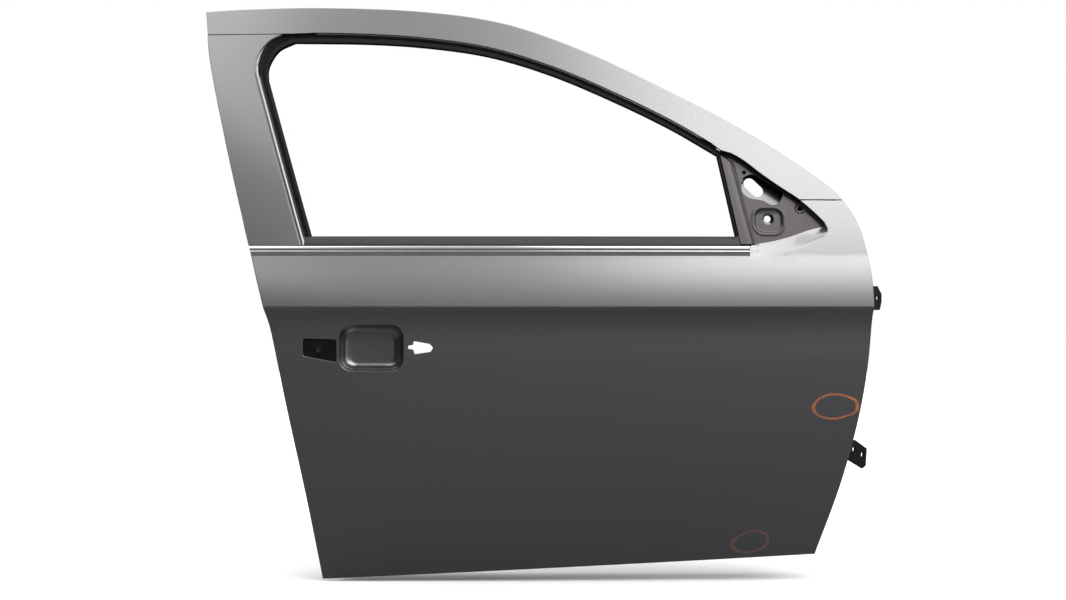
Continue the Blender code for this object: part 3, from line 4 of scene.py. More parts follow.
import bmesh
import bpy
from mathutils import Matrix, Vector


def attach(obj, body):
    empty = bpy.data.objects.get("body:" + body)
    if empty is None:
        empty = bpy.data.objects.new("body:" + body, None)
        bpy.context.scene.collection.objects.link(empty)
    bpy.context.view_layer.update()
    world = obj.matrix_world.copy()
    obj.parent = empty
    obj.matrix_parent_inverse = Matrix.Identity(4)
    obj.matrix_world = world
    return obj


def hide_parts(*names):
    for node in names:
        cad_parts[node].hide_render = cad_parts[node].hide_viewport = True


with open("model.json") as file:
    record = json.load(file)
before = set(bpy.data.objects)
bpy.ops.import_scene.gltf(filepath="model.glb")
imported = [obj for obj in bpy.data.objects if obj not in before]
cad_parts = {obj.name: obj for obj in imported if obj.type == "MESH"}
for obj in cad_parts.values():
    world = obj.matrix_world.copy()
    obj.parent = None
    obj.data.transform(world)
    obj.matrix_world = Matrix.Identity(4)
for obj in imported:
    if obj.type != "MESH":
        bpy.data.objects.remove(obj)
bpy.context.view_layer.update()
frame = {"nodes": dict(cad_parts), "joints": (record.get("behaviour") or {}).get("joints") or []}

# Tolerances: two places that are one, a place on a face, the sharpest mitre, and a bend's share of a side
TINY = 1e-6
ON_FACE = 0.00003
SHARPEST = 0.4
LONGEST_BEND = 0.45

# Working coordinates: the crease in the outer skin is z = 0, and y = 0 is its outermost line.
# The hinge pins stand at PIN_X, PIN_Y there, which fixes where the row's origin lies.
PIN_X = 0.545
PIN_Y = 0.062
UPPER_HINGE_Z = 0.018
ORIGIN = Vector((PIN_X, PIN_Y, UPPER_HINGE_Z)) - Vector(frame["joints"][0]["pos_m"])
CAMERA_DISTANCE = 3.0
CAMERA_HEIGHT = 0.0144
FRAME_WIDTH = 1.9188

# Edges of the door, as (height, x) or (x, height)
REAR_EDGE = ((-0.494, -0.3835), (-0.333, -0.4127), (-0.159, -0.4498), (-0.045, -0.4742), (0.0, -0.487),
             (0.102, -0.5155), (0.305, -0.5723), (0.472, -0.6158), (0.572, -0.6326))
TOP_EDGE = ((-0.6326, 0.5715), (-0.555, 0.5762), (-0.4, 0.5787), (-0.2063, 0.5696), (-0.0519, 0.5445),
            (0.101, 0.4872), (0.2513, 0.4111), (0.399, 0.3291), (0.5438, 0.2297), (0.5703, 0.2036))
FRONT_EDGE = ((-0.4496, 0.5161), (-0.3133, 0.5626), (-0.182, 0.5966), (-0.0731, 0.614), (0.04, 0.62),
              (0.123, 0.6085), (0.1676, 0.5934), (0.2036, 0.5703))
SILL_REAR_Z = -0.4944
SILL_FRONT_Z = -0.4505

# Section of the outer face: depth inboard of the crease, as (height, depth)
LOWER_SECTION = ((-0.50, 0.039), (-0.40, 0.022), (-0.30, 0.010), (-0.20, 0.0055), (-0.10, 0.0085),
                 (-0.036, 0.0125), (-0.018, 0.0095), (0.0, 0.0))
SHOULDER_SLOPE = 0.20
BELT_SLOPE = 0.38
FRAME_FOOT_SLOPE = 0.30
FRAME_TOP_SLOPE = 0.48
SHOULDER_HEIGHT = 0.095
FRAME_HEIGHT = 0.475
FLATTEST_X = -0.15
PLAN_RADIUS = 11.0
CREASE_ROUND = 0.0035

SHEET = 0.001
GAP = 0.0003
FLANGE = 0.011
HEM_WIDTH = 0.009
HEM_DEPTH = 0.0042
EDGE_ROUND = 0.0016

SKIN_TOP = 0.1105
CHROME_LOW = 0.0950
CHROME_TOP = 0.1133
CHROME_FRONT = 0.396
CHROME_PROUD = 0.0045
# Strip's section as shares of how far it stands out and of its height
CHROME_SECTION = ((0.20, 0.03), (0.29, 0.09), (0.39, 0.18), (0.54, 0.28), (0.67, 0.38), (0.73, 0.45),
                  (0.71, 0.49), (0.51, 0.515), (0.58, 0.54), (0.80, 0.58), (0.93, 0.66), (1.00, 0.76),
                  (0.98, 0.86), (0.87, 0.93), (0.67, 0.98))
BELT_SEAL_TOP = 0.1312
BELT_SEAL_REACH = 0.013

# Window opening inside the rubber, as (x, height)
WINDOW_REAR_FOOT_X = -0.4064
WINDOW_REAR_HEAD = (-0.5034, 0.4323)
WINDOW_CORNER = ((-0.5034, 0.4323), (-0.5048, 0.4525), (-0.4985, 0.4728), (-0.4846, 0.4932),
                 (-0.4566, 0.5075))
CORNER_STEPS = 16
WINDOW_TOP = ((-0.4566, 0.5075), (-0.3123, 0.5049), (-0.1971, 0.4965), (-0.0821, 0.4781), (0.0323, 0.4418),
              (0.1454, 0.3921), (0.2571, 0.3353), (0.3434, 0.2830))
WINDOW_FRONT_FOOT_X = 0.3719
SEAL_REAR_WIDTH = 0.012
SEAL_TOP_WIDTH = 0.016
SEAL_HEAD_WIDTH = 0.0105
SEAL_FRONT_WIDTH = 0.006
SEAL_WALL = 0.003
SEAL_OUTER_DEPTH = 0.005
SEAL_INNER_DEPTH = 0.027
RUN_CLEARANCE = 0.0012

SEAM_REAR_Z = 0.523
SEAM_FRONT_Z = 0.1995
SEAM_GAP = 0.0008
STRIP_WIDTH = 0.009
STRIP_DEPTH = 0.0025
# Strip beside the pillar's face: depth added to the strip's, and share of its width
PILLAR_STEP = ((0.0024, 0.02), (0.0026, 0.12), (0.0004, 0.20), (-0.0006, 0.5), (0.0, 0.82), (0.001, 0.93))
HEADER_STRIP = 0.0026
# Strip below the header's face: depth, and share of its width
HEADER_STEP = ((EDGE_ROUND, 0.0), (0.0030, 0.0), (0.0032, 0.7), (0.0040, 1.0), (FLANGE, 1.0))
STRIP_FADE = 0.02
CORNER_BULGE = 0.006
# Bead round the corner: share of its width, and depth behind the glass run's lip
CORNER_BEAD = ((0.0, 0.0035), (0.0, 0.0012), (0.18, -0.0004), (0.45, -0.0014), (0.72, -0.0010),
               (0.92, 0.0006), (1.0, 0.0022), (1.0, 0.0035))
PILLAR_TURN = 0.05
PILLAR_ROUND = 0.0010
PILLAR_LOW = CHROME_TOP + 2 * GAP
SIDE_STRETCH = math.hypot(1.0, (WINDOW_REAR_HEAD[0] - WINDOW_REAR_FOOT_X)
                          / (WINDOW_REAR_HEAD[1] - BELT_SEAL_TOP))
FRAME_SHEET = 0.0012

# Mirror corner, as (x, height)
SAIL_LOWER = ((0.3942, 0.0903), (0.4190, 0.0923), (0.4545, 0.1003), (0.4904, 0.1109), (0.5194, 0.1233),
              (0.5377, 0.1358))
SAIL_TIP = (0.5407, 0.1464)
SAIL_UPPER = ((0.3567, 0.2938), (0.3882, 0.2762), (0.4226, 0.2488), (0.4570, 0.2236), (0.4916, 0.2001),
              (0.5187, 0.1750), (0.5354, 0.1573))
SAIL_FLOOR = ((0.39, 0.1140), (0.4397, 0.1217), (0.4755, 0.1308), (0.5117, 0.1433), (0.5400, 0.1500))
SAIL_DEPTH = 0.012
SAIL_BACK_DEPTH = 0.034
SAIL_RIDGE_TOP = (0.3660, 0.2800)
SAIL_RIDGE_FOOT = (0.4034, 0.1171)
SAIL_RIDGE_RISE = 0.004
SAIL_OPENING = ((0.3865, 0.2250), (0.3885, 0.2390), (0.3990, 0.2465), (0.4116, 0.2482), (0.4330, 0.2350),
                (0.4607, 0.2178), (0.4640, 0.2093), (0.4560, 0.1940), (0.4426, 0.1900), (0.4280, 0.1975),
                (0.4150, 0.2005), (0.4002, 0.2034), (0.3890, 0.2130))
SAIL_HOLES = (((0.3933, 0.2521), 0.0040), ((0.4944, 0.1835), 0.0048))
PAD_CENTRE = (0.4350, 0.1610)
PAD_SIZE = (0.054, 0.048)
PAD_CORNER = 0.018
PAD_DROP = 0.003
SAIL_TUCK = 0.002
SAIL_MESH = 0.0017
SAIL_LINE = ((0.3746, 0.2696), (0.4064, 0.1293))
SAIL_NOTCH = (0.3620, 0.2790)
STUD_HOLE = ((0.4350, 0.1640), 0.011)
BACK_SLOT_CENTRE = (0.4121, 0.2247)
BACK_SLOT_LENGTH = 0.042
BACK_SLOT_WIDTH = 0.022
BACK_HOLE = ((0.4356, 0.1654), 0.0062)
INNER_CORNER_INSET = 0.012
INNER_CORNER_LOW = 0.112

# Door handle in the skin, as (x, height)
BOWL_CENTRE = (-0.2925, -0.0725)
BOWL_SIZE = (0.118, 0.085)
BOWL_CORNER = 0.024
BOWL_DEPTH = 0.030
BOWL_LIP = ((0.993, 0.0005), (0.980, 0.0020), (0.973, 0.003))
BOWL_WALL = 0.33
BOWL_RINGS = (0.36, 0.2, 0.08)
REAR_APERTURE = ((-0.4162, -0.0556), (-0.3563, -0.0574), (-0.3560, -0.0978), (-0.4159, -0.0866))
FRONT_APERTURE = ((-0.2161, -0.0599), (-0.1870, -0.0650), (-0.1806, -0.0715), (-0.1850, -0.0790),
                  (-0.2135, -0.0831), (-0.2165, -0.0745), (-0.2256, -0.0735), (-0.2256, -0.0680),
                  (-0.2165, -0.0670))
APERTURE_LIP = ((0.0005, 0.0004), (0.001, 0.0016), (0.001, 0.0030))

# Inner panel
INNER_Y = 0.135
INNER_TOP = 0.125
WALL_TOP = 0.104
FLANGE_INSET = 0.0015
HEM_GAP = 0.0006
WALL_INSET = 0.015
WALL_LEAN = 0.026
WALL_BEND = 0.4
WALL_ROUND = 0.012
WALL_BENDS = (0.009, 0.006, 0.004)
HINGE_WALL_STEP = 0.012
HINGE_WALL_FOOT = 0.006
HINGE_WALL_X = 0.520
HINGE_WALL_Y = 0.047
SPEAKER_CENTRE = (0.330, -0.300)
SPEAKER_RADIUS = 0.078
SERVICE_HOLES = (((-0.245, -0.075), (0.270, 0.190)), ((0.190, -0.045), (0.340, 0.150)),
                 ((-0.090, -0.320), (0.420, 0.150)))
SERVICE_CORNER = 0.030
SEAT_WIDTH = 0.016
SEAT_DEPTH = 0.003
SERVICE_LIP = ((0.0012, 0.0004), (0.0021, 0.0012), (0.0025, 0.0030), (0.0025, 0.0060))
BEADS = (((0.060, -0.190), (0.300, 0.020)), ((-0.300, -0.420), (0.120, 0.018)),
         ((0.100, -0.420), (0.180, 0.018)), ((0.440, -0.140), (0.018, 0.120)))
LATCH_SLOT = (0.060, 0.105, -0.110, -0.045)
LATCH_CUT = 0.055
LOWER_HINGE_Z = -0.268
DOOR_BOLT_Y = 0.108
DOOR_BOLT_SPREAD = 0.013
BOLT_HOLE_RADIUS = 0.0045

PAINT_COLOUR = (0.250, 0.244, 0.253)
PAINT_METALLIC = 0.94
PAINT_ROUGHNESS = (0.285, 0.325)
DUST_COLOUR = (0.36, 0.34, 0.32)
FLOOR_SEEN = (0.98, 0.98, 0.98)
FLOOR_REFLECTED = (0.11, 0.11, 0.115)
FLOOR_GAP = 0.004
FLOOR_FAR = (0.9, 2.0)
FLOOR_GLOW = 0.3

# Felt-pen rings on the paint, as centre, half size, tilt and strength
MARK_COLOUR = (0.90, 0.24, 0.045)
MARK_LINE = (0.045, 0.10)
MARK_WANDER = 0.10
MARKS = (((0.5500, -0.180), (0.0385, 0.0220), -0.06, 0.9), ((0.3958, -0.427), (0.0335, 0.0185), -0.1, 0.36))

# Sky in front of the door. Each light is a product of soft ramps: what it follows, where it starts and ends,
# and the value before and after. In degrees, height is the angle above the horizon, turn the angle from
# straight in front of the door towards +X, and tilted a turn that grows with the height.
SKY = ((("height", 11.0, 34.0, 0.155, 0.65), ("height", 40.0, 58.0, 1.0, 0.45)),
       (("turn", 0.0, 15.0, 0.0, 1.0), ("height", 24.5, 39.0, 0.0, 3.2), ("turn", 45.0, 80.0, 1.0, 0.4)),
       (("tilted", -18.0, -8.0, 1.0, 0.0), ("height", 25.0, 37.0, 0.0, 1.85)),
       (("height", 64.0, 80.0, 0.0, 0.5),),
       (("turn", 48.0, 66.0, 0.0, 0.9), ("height", -4.0, 18.0, 0.0, 1.0)))
# Share of all this light that is missing low on the left, so that the pillar's foot stays dark
SKY_SHADE = (("turn", -19.5, -16.5, 1.0, 0.0), ("height", 39.0, 54.0, 0.93, 0.0))
SKY_LEAN = 0.38
SKY_LEAN_FROM = 37.0


def curve_value(points, t):
    """Height at t of the smooth curve through (t, value) points."""
    last = len(points) - 2
    i = 0
    while i < last and t > points[i + 1][0]:
        i += 1
    t0, v0 = points[i]
    t1, v1 = points[i + 1]
    before = points[max(i - 1, 0)]
    after = points[min(i + 2, len(points) - 1)]
    m0 = (v1 - before[1]) / (t1 - before[0])
    m1 = (after[1] - v0) / (after[0] - t0)
    span = t1 - t0
    s = (t - t0) / span
    return ((2 * s**3 - 3 * s**2 + 1) * v0 + (s**3 - 2 * s**2 + s) * span * m0
            + (3 * s**2 - 2 * s**3) * v1 + (s**3 - s**2) * span * m1)


def rear_x(z):
    return curve_value(REAR_EDGE, z)


def top_z(x):
    return curve_value(TOP_EDGE, x)


def front_x(z):
    return curve_value(FRONT_EDGE, z)


def sill_z(x):
    rear = rear_x(SILL_REAR_Z)
    front = front_x(SILL_FRONT_Z)
    return SILL_REAR_Z + (SILL_FRONT_Z - SILL_REAR_Z) * (x - rear) / (front - rear)


def section_depth(z):
    if z <= 0:
        return curve_value(LOWER_SECTION, z)
    low = min(z, SHOULDER_HEIGHT)
    depth = SHOULDER_SLOPE * low + (BELT_SLOPE - SHOULDER_SLOPE) * low**2 / (2 * SHOULDER_HEIGHT)
    if z > SHOULDER_HEIGHT:
        high = z - SHOULDER_HEIGHT
        depth += FRAME_FOOT_SLOPE * high + (FRAME_TOP_SLOPE - FRAME_FOOT_SLOPE) * high**2 / (2 * FRAME_HEIGHT)
    return depth


def skin_y(x, z):
    """Depth of the door's outer face at x and height z, with the crease rounded."""
    bow = (x - FLATTEST_X)**2 / (2 * PLAN_RADIUS)
    if abs(z) < CREASE_ROUND:
        share = (z / CREASE_ROUND + 1) / 2
        low = section_depth(-CREASE_ROUND)
        high = section_depth(CREASE_ROUND)
        return bow + low * (1 - share)**2 + high * share**2
    return bow + section_depth(z)


def steps(low, high, count):
    return [low + (high - low) * i / count for i in range(count + 1)]


SKIN_ROWS = (steps(-0.48, -0.06, 24) + [-0.052, -0.045, -0.040, -0.036, -0.032, -0.028, -0.024, -0.020]
             + [-0.017, -0.014, -0.011, -0.008, -0.0055] + steps(-CREASE_ROUND, CREASE_ROUND, 6)
             + [0.006, 0.010] + steps(0.016, SHOULDER_HEIGHT, 6))
FRONT_ROWS = [z for z in SKIN_ROWS if z > SILL_FRONT_Z + 0.01]
FRAME_ROWS = steps(0.12, 0.57, 30)
COLUMNS = steps(-0.63, 0.63, 70)


def quarter(count):
    """Angles of a quarter turn in equal steps, without the first."""
    return [math.radians(90 * i / count) for i in range(1, count + 1)]


def smooth_step(value, low, high):
    t = min(max((value - low) / (high - low), 0.0), 1.0)
    return t * t * (3 - 2 * t)


def at(x, z, depth=0.0, surface=skin_y):
    """Place at a depth behind the face y = surface(x, z)."""
    return Vector((x, surface(x, z) + depth, z))


def on_face(depth=0.0, surface=skin_y):
    return lambda x, z: at(x, z, depth, surface)


def out_and_down(out, down, surface=skin_y):
    """Move that goes outward from the sheet's first edge and inboard of the face."""
    return lambda x, z, way: at(x - way.x * out, z - way.z * out, down, surface)


def left_of(start, end):
    """Direction to the left of the way from start to end, in the plane."""
    way = (Vector(end) - Vector(start)).normalized()
    return Vector((-way.y, way.x))


def side_normals(points):
    """For each point of an open path in the plane, its mitred direction to the left of the way."""
    lefts = [left_of(a, b) for a, b in zip(points, points[1:])]
    lefts = [lefts[0]] + lefts + [lefts[-1]]
    return [(a + b) / (1 + a.dot(b)) for a, b in zip(lefts, lefts[1:])]


def neighbours(loop):
    return zip(loop[-1:] + loop[:-1], loop, loop[1:] + loop[:1])


def inset_loop(loop, distance):
    """Closed loop moved inward; the loop may run either way round."""
    area = sum(a[0] * b[1] - b[0] * a[1] for a, b in zip(loop, loop[1:] + loop[:1]))
    turn = 1 if area > 0 else -1
    moved = []
    for before, point, after in neighbours(loop):
        a, b = left_of(before, point), left_of(point, after)
        move = (a + b) / max(1 + a.dot(b), SHARPEST) * distance * turn
        moved.append((point[0] + move.x, point[1] + move.y))
    return moved


def rounded(centre, size, radius, count=8):
    """Rectangle with round corners, as points in the plane."""
    loop = []
    for quadrant, (sx, sz) in enumerate(((1, 1), (-1, 1), (-1, -1), (1, -1))):
        cx = centre[0] + sx * (size[0] / 2 - radius)
        cz = centre[1] + sz * (size[1] / 2 - radius)
        for i in range(count + 1):
            turn = math.radians(90 * quadrant + 90 * i / count)
            loop.append((cx + radius * math.cos(turn), cz + radius * math.sin(turn)))
    return loop


def bend(before, corner, after, radius, count=4):
    """Points that round a corner off, from about a radius before it to a radius after it."""
    start, end = [corner + (other - corner).normalized() * min(radius, (other - corner).length * LONGEST_BEND)
                  for other in (before, after)]
    return [start * (1 - t)**2 + corner * 2 * t * (1 - t) + end * t**2 for t in steps(0.0, 1.0, count)]


def round_corners(loop, radius, count=4):
    return [(q.x, q.y) for points in neighbours(loop) for q in bend(*map(Vector, points), radius, count)]


def circle(centre, radius, count=32):
    turns = [2 * math.pi * (i + 0.5) / count for i in range(count)]
    return [(centre[0] + radius * math.cos(turn), centre[1] + radius * math.sin(turn)) for turn in turns]


def smooth_path(points, count):
    """More points on the smooth curve through the given ones."""
    last = len(points) - 1
    xs = [(i, point[0]) for i, point in enumerate(points)]
    zs = [(i, point[1]) for i, point in enumerate(points)]
    return [(curve_value(xs, t), curve_value(zs, t)) for t in steps(0, last, count)]


def on_line(values, a, b):
    return any(abs(a - value) < TINY and abs(b - value) < TINY for value in values)


def face_outward(bm):
    """Turn the faces so that the sheet as a whole faces outward, towards -Y."""
    bmesh.ops.recalc_face_normals(bm, faces=bm.faces[:])
    if sum(face.normal.y * face.calc_area() for face in bm.faces) > 0:
        bmesh.ops.reverse_faces(bm, faces=bm.faces[:])


def sheet(loops, place, columns, rows):
    """Open surface inside the first loop and outside the others, laid in space by place(u, v)."""
    bm = bmesh.new()
    for loop in loops:
        corners = [bm.verts.new((u, v, 0.0)) for u, v in loop]
        for a, b in zip(corners, corners[1:] + corners[:1]):
            bm.edges.new((a, b))
    bmesh.ops.triangle_fill(bm, use_beauty=True, edges=bm.edges[:])
    cuts = [((u, 0.0, 0.0), (1.0, 0.0, 0.0)) for u in columns]
    cuts += [((0.0, v, 0.0), (0.0, 1.0, 0.0)) for v in rows]
    for point, normal in cuts:
        geometry = bm.verts[:] + bm.edges[:] + bm.faces[:]
        bmesh.ops.bisect_plane(bm, geom=geometry, dist=TINY, plane_co=point, plane_no=normal)
    spare = []
    for edge in bm.edges:
        a, b = (vert.co for vert in edge.verts)
        if len(edge.link_faces) == 2 and not on_line(columns, a.x, b.x) and not on_line(rows, a.y, b.y):
            spare.append(edge)
    bmesh.ops.dissolve_edges(bm, edges=spare, use_verts=False)
    for vert in bm.verts:
        vert.co = place(vert.co.x, vert.co.y)
    face_outward(bm)
    return bm


def open_edges(bm, test=None):
    found = []
    for edge in bm.edges:
        middle = (edge.verts[0].co + edge.verts[1].co) / 2
        if len(edge.link_faces) == 1 and (test is None or test(middle)):
            found.append(edge)
    return found


def spot(co):
    return (round(co.x, 6), round(co.y, 6), round(co.z, 6))


def extrude(bm, edges):
    """Extrude open edges in place, and give the new vertices and the new open edges."""
    made = bmesh.ops.extrude_edge_only(bm, edges=edges)["geom"]
    verts = [item for item in made if isinstance(item, bmesh.types.BMVert)]
    known = set(verts)
    edges = [item for item in made if isinstance(item, bmesh.types.BMEdge) and known.issuperset(item.verts)]
    return verts, edges


def fold(bm, edges, moves):
    """Extrude open edges once for each move; move(x, z, way) gives the new (x, y, z).

    way is the mitred direction into the sheet at the edge's first place, seen along Y.
    """
    met = {}
    for edge in edges:
        loop = edge.link_loops[0]
        along = loop.link_loop_next.vert.co - loop.vert.co
        normal = Vector((along.z, 0.0, -along.x)).normalized()
        if normal.dot(loop.face.normal.cross(along)) < 0:
            normal.negate()
        for vert in edge.verts:
            met.setdefault(spot(vert.co), [vert.co.x, vert.co.z]).append(normal)
    starts = {}
    for place, (x, z, *ways) in met.items():
        starts[place] = (x, z, (ways[0] + ways[-1]) / max(1 + ways[0].dot(ways[-1]), SHARPEST))
    for move in moves:
        verts, edges = extrude(bm, edges)
        moved = {}
        for vert in verts:
            start = starts[spot(vert.co)]
            vert.co = move(*start)
            moved[spot(vert.co)] = start
        starts = moved
    return edges


def loft(rings):
    bm = bmesh.new()
    rows = [[bm.verts.new(point) for point in ring] for ring in rings]
    for near, far in zip(rows, rows[1:]):
        for a, b, c, d in zip(near, near[1:] + near[:1], far[1:] + far[:1], far):
            bm.faces.new((a, b, c, d))
    bm.faces.new(rows[0])
    bm.faces.new(rows[-1])
    bmesh.ops.recalc_face_normals(bm, faces=bm.faces[:])
    return bm


def link_mesh(name, bm):
    """Object from working coordinates, moved into the row's frame."""
    mesh = bpy.data.meshes.new(name)
    bm.to_mesh(mesh)
    bm.free()
    for vert in mesh.vertices:
        vert.co -= ORIGIN
    piece = bpy.data.objects.new(name, mesh)
    bpy.context.scene.collection.objects.link(piece)
    return piece


def thicken(piece, thickness, tools):
    """Give a sheet its thickness behind its face, cut the tools out of it and apply both."""
    shell = piece.modifiers.new("thickness", "SOLIDIFY")
    shell.thickness = thickness
    shell.offset = -1.0
    shell.use_even_offset = False
    for tool in tools:
        cut = piece.modifiers.new("cut", "BOOLEAN")
        cut.operation = "DIFFERENCE"
        cut.solver = "EXACT"
        cut.object = tool
    done = bpy.data.meshes.new_from_object(piece.evaluated_get(bpy.context.evaluated_depsgraph_get()))
    raw, piece.data = piece.data, done
    piece.modifiers.clear()
    bpy.data.meshes.remove(raw)
    done.name = piece.name


def new_object(name, bm, look, thickness=None, angle=35, cutters=()):
    """Piece with its thickness, cuts and material; edges sharper than the angle stay sharp."""
    piece = link_mesh(name, bm)
    tools = [link_mesh("cutter", cutter) for cutter in cutters]
    if thickness:
        thicken(piece, thickness, tools)
    for tool in tools:
        shape = tool.data
        bpy.data.objects.remove(tool)
        bpy.data.meshes.remove(shape)
    mesh = piece.data
    mesh.materials.clear()
    mesh.materials.append(look)
    mesh.shade_smooth()
    mesh.set_sharp_from_angle(angle=math.radians(angle))
    return piece


def surface_normal(surface, x, z):
    """Outward unit normal of the face y = surface(x, z)."""
    step = 0.0002
    across = (surface(x + step, z) - surface(x - step, z)) / (2 * step)
    up = (surface(x, z + step) - surface(x, z - step)) / (2 * step)
    return Vector((across, -1.0, up)).normalized()


def set_true_normals(piece, surface):
    """Shade the corners that lie on the face y = surface(x, z) with that face's own normals."""
    mesh = piece.data
    normals = [Vector(corner.vector) for corner in mesh.corner_normals]
    found = {}
    for vert in mesh.vertices:
        place = vert.co + ORIGIN
        if abs(place.y - surface(place.x, place.z)) < ON_FACE:
            found[vert.index] = surface_normal(surface, place.x, place.z)
    for loop in mesh.loops:
        normals[loop.index] = found.get(loop.vertex_index, normals[loop.index])
    mesh.normals_split_custom_set(normals)


def pressed(name, bm, look, surface=skin_y, thickness=SHEET, cutters=()):
    """Piece of sheet metal from its outer side; surface gives the face that its shading follows."""
    face_outward(bm)
    piece = new_object(name, bm, look, thickness, cutters=cutters)
    if surface:
        set_true_normals(piece, surface)
    return piece


def place_piece(piece, nodes, body="door"):
    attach(piece, body)
    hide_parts(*nodes)
    return piece


# Materials

def new_material(name):
    """New material with its tree and its shader's inputs."""
    material = bpy.data.materials.new(name)
    material.use_nodes = True
    return material, material.node_tree, material.node_tree.nodes["Principled BSDF"].inputs


def add_node(tree, kind, **values):
    """New node; each value is a setting of the node, or an input whose spaces are written _."""
    made = tree.nodes.new(kind)
    for key, value in values.items():
        if hasattr(made, key):
            setattr(made, key, value)
        else:
            made.inputs[key.replace("_", " ")].default_value = value
    return made


def plug(tree, value, socket):
    """Link an output to a socket, or give the socket a number or a colour."""
    if isinstance(value, bpy.types.NodeSocket):
        tree.links.new(value, socket)
    else:
        socket.default_value = (*value, 1.0) if isinstance(value, tuple) else value


def object_noise(tree, scale, detail=3.0, rough=0.5):
    noise = add_node(tree, "ShaderNodeTexNoise", Scale=scale, Detail=detail, Roughness=rough)
    plug(tree, add_node(tree, "ShaderNodeTexCoord").outputs["Object"], noise.inputs["Vector"])
    return noise.outputs["Fac"]


def remap(tree, source, low, high, new_low, new_high, kind="LINEAR"):
    change = add_node(tree, "ShaderNodeMapRange", interpolation_type=kind, From_Min=low, From_Max=high,
                      To_Min=new_low, To_Max=new_high)
    plug(tree, source, change.inputs["Value"])
    return change.outputs["Result"]


def mix_colour(tree, share, first, second):
    mix = add_node(tree, "ShaderNodeMix", data_type="RGBA")
    for index, value in ((0, share), (6, first), (7, second)):
        plug(tree, value, mix.inputs[index])
    return mix.outputs[2]


def bump(tree, height, strength, distance):
    made = add_node(tree, "ShaderNodeBump", Strength=strength, Distance=distance)
    plug(tree, height, made.inputs["Height"])
    return made.outputs["Normal"]


def maths(tree, operation, *values):
    made = add_node(tree, "ShaderNodeMath", operation=operation)
    for value, socket in zip(values, made.inputs):
        plug(tree, value, socket)
    return made.outputs[0]


def chain(tree, operation, values):
    """Sum or product of several values."""
    total = values[0]
    for value in values[1:]:
        total = maths(tree, operation, total, value)
    return total


def axes_of(tree, space):
    axes = add_node(tree, "ShaderNodeSeparateXYZ")
    plug(tree, add_node(tree, "ShaderNodeTexCoord").outputs[space], axes.inputs[0])
    return axes.outputs


def ring_share(tree, centre, size, tilt, strength):
    """1 on an unevenly drawn ellipse in the XZ plane, and 0 away from it."""
    axes = axes_of(tree, "Object")
    x = maths(tree, "SUBTRACT", axes["X"], centre[0] - ORIGIN.x)
    z = maths(tree, "SUBTRACT", axes["Z"], centre[1] - ORIGIN.z)
    z = maths(tree, "SUBTRACT", z, maths(tree, "MULTIPLY", x, -tilt))
    u = maths(tree, "DIVIDE", x, size[0])
    v = maths(tree, "DIVIDE", z, size[1])
    squares = [maths(tree, "MULTIPLY", value, value) for value in (u, v)]
    radius = maths(tree, "SQRT", maths(tree, "ADD", *squares))
    wander = remap(tree, object_noise(tree, 22.0, 2.0), 0.3, 0.7, -MARK_WANDER, MARK_WANDER)
    off = maths(tree, "ABSOLUTE", maths(tree, "SUBTRACT", maths(tree, "ADD", radius, wander), 1.0))
    line = remap(tree, off, *MARK_LINE, 1.0, 0.0)
    dry = remap(tree, object_noise(tree, 160.0, 2.0), 0.35, 0.6, 0.55 * strength, strength)
    return maths(tree, "MULTIPLY", line, dry)


def car_paint(name, base, marks=()):
    """Metallic paint under a clear coat: fine flakes, faint orange peel, light dust and pen marks."""
    material, tree, inputs = new_material(name)
    flakes = remap(tree, object_noise(tree, 2600.0, 1.0, 0.4), 0.35, 0.65, 0.0, 1.0)
    colour = mix_colour(tree, flakes, tuple(0.86 * c for c in base), tuple(1.16 * c for c in base))
    dust = remap(tree, object_noise(tree, 55.0, 5.0, 0.6), 0.0, 1.0, 0.0, 0.03)
    colour = mix_colour(tree, dust, colour, DUST_COLOUR)
    pen = 0.0
    for mark in marks:
        share = ring_share(tree, *mark)
        colour = mix_colour(tree, share, colour, MARK_COLOUR)
        pen = maths(tree, "MAXIMUM", pen, share)
    plug(tree, colour, inputs["Base Color"])
    plug(tree, remap(tree, pen, 0.0, 1.0, PAINT_METALLIC, 0.0), inputs["Metallic"])
    plug(tree, remap(tree, object_noise(tree, 3.0, 2.0), 0.0, 1.0, *PAINT_ROUGHNESS), inputs["Roughness"])
    plug(tree, 1.0, inputs["Coat Weight"])
    plug(tree, 0.04, inputs["Coat Roughness"])
    normal = bump(tree, object_noise(tree, 420.0, 2.0), 0.04, 0.0004)
    plug(tree, normal, inputs["Normal"])
    plug(tree, normal, inputs["Coat Normal"])
    return material


def worn_surface(name, base, second, rough, metallic, grain, depth, spots=40.0, specular=0.5):
    """Plain surface with grain and slow changes of colour and gloss."""
    material, tree, inputs = new_material(name)
    patches = object_noise(tree, spots, 5.0, 0.6)
    share = remap(tree, patches, 0.35, 0.72, 0.0, 1.0)
    plug(tree, mix_colour(tree, share, base, second), inputs["Base Color"])
    plug(tree, remap(tree, patches, 0.3, 0.7, *rough), inputs["Roughness"])
    plug(tree, metallic, inputs["Metallic"])
    plug(tree, specular, inputs["Specular IOR Level"])
    plug(tree, bump(tree, object_noise(tree, grain, 4.0, 0.6), 0.35, depth), inputs["Normal"])
    return material


paint = car_paint("graphite_metallic_paint", PAINT_COLOUR)
marked_paint = car_paint("graphite_metallic_paint_marked", PAINT_COLOUR, MARKS)
thin_paint = car_paint("thin_inner_paint", tuple(0.72 * c for c in PAINT_COLOUR))

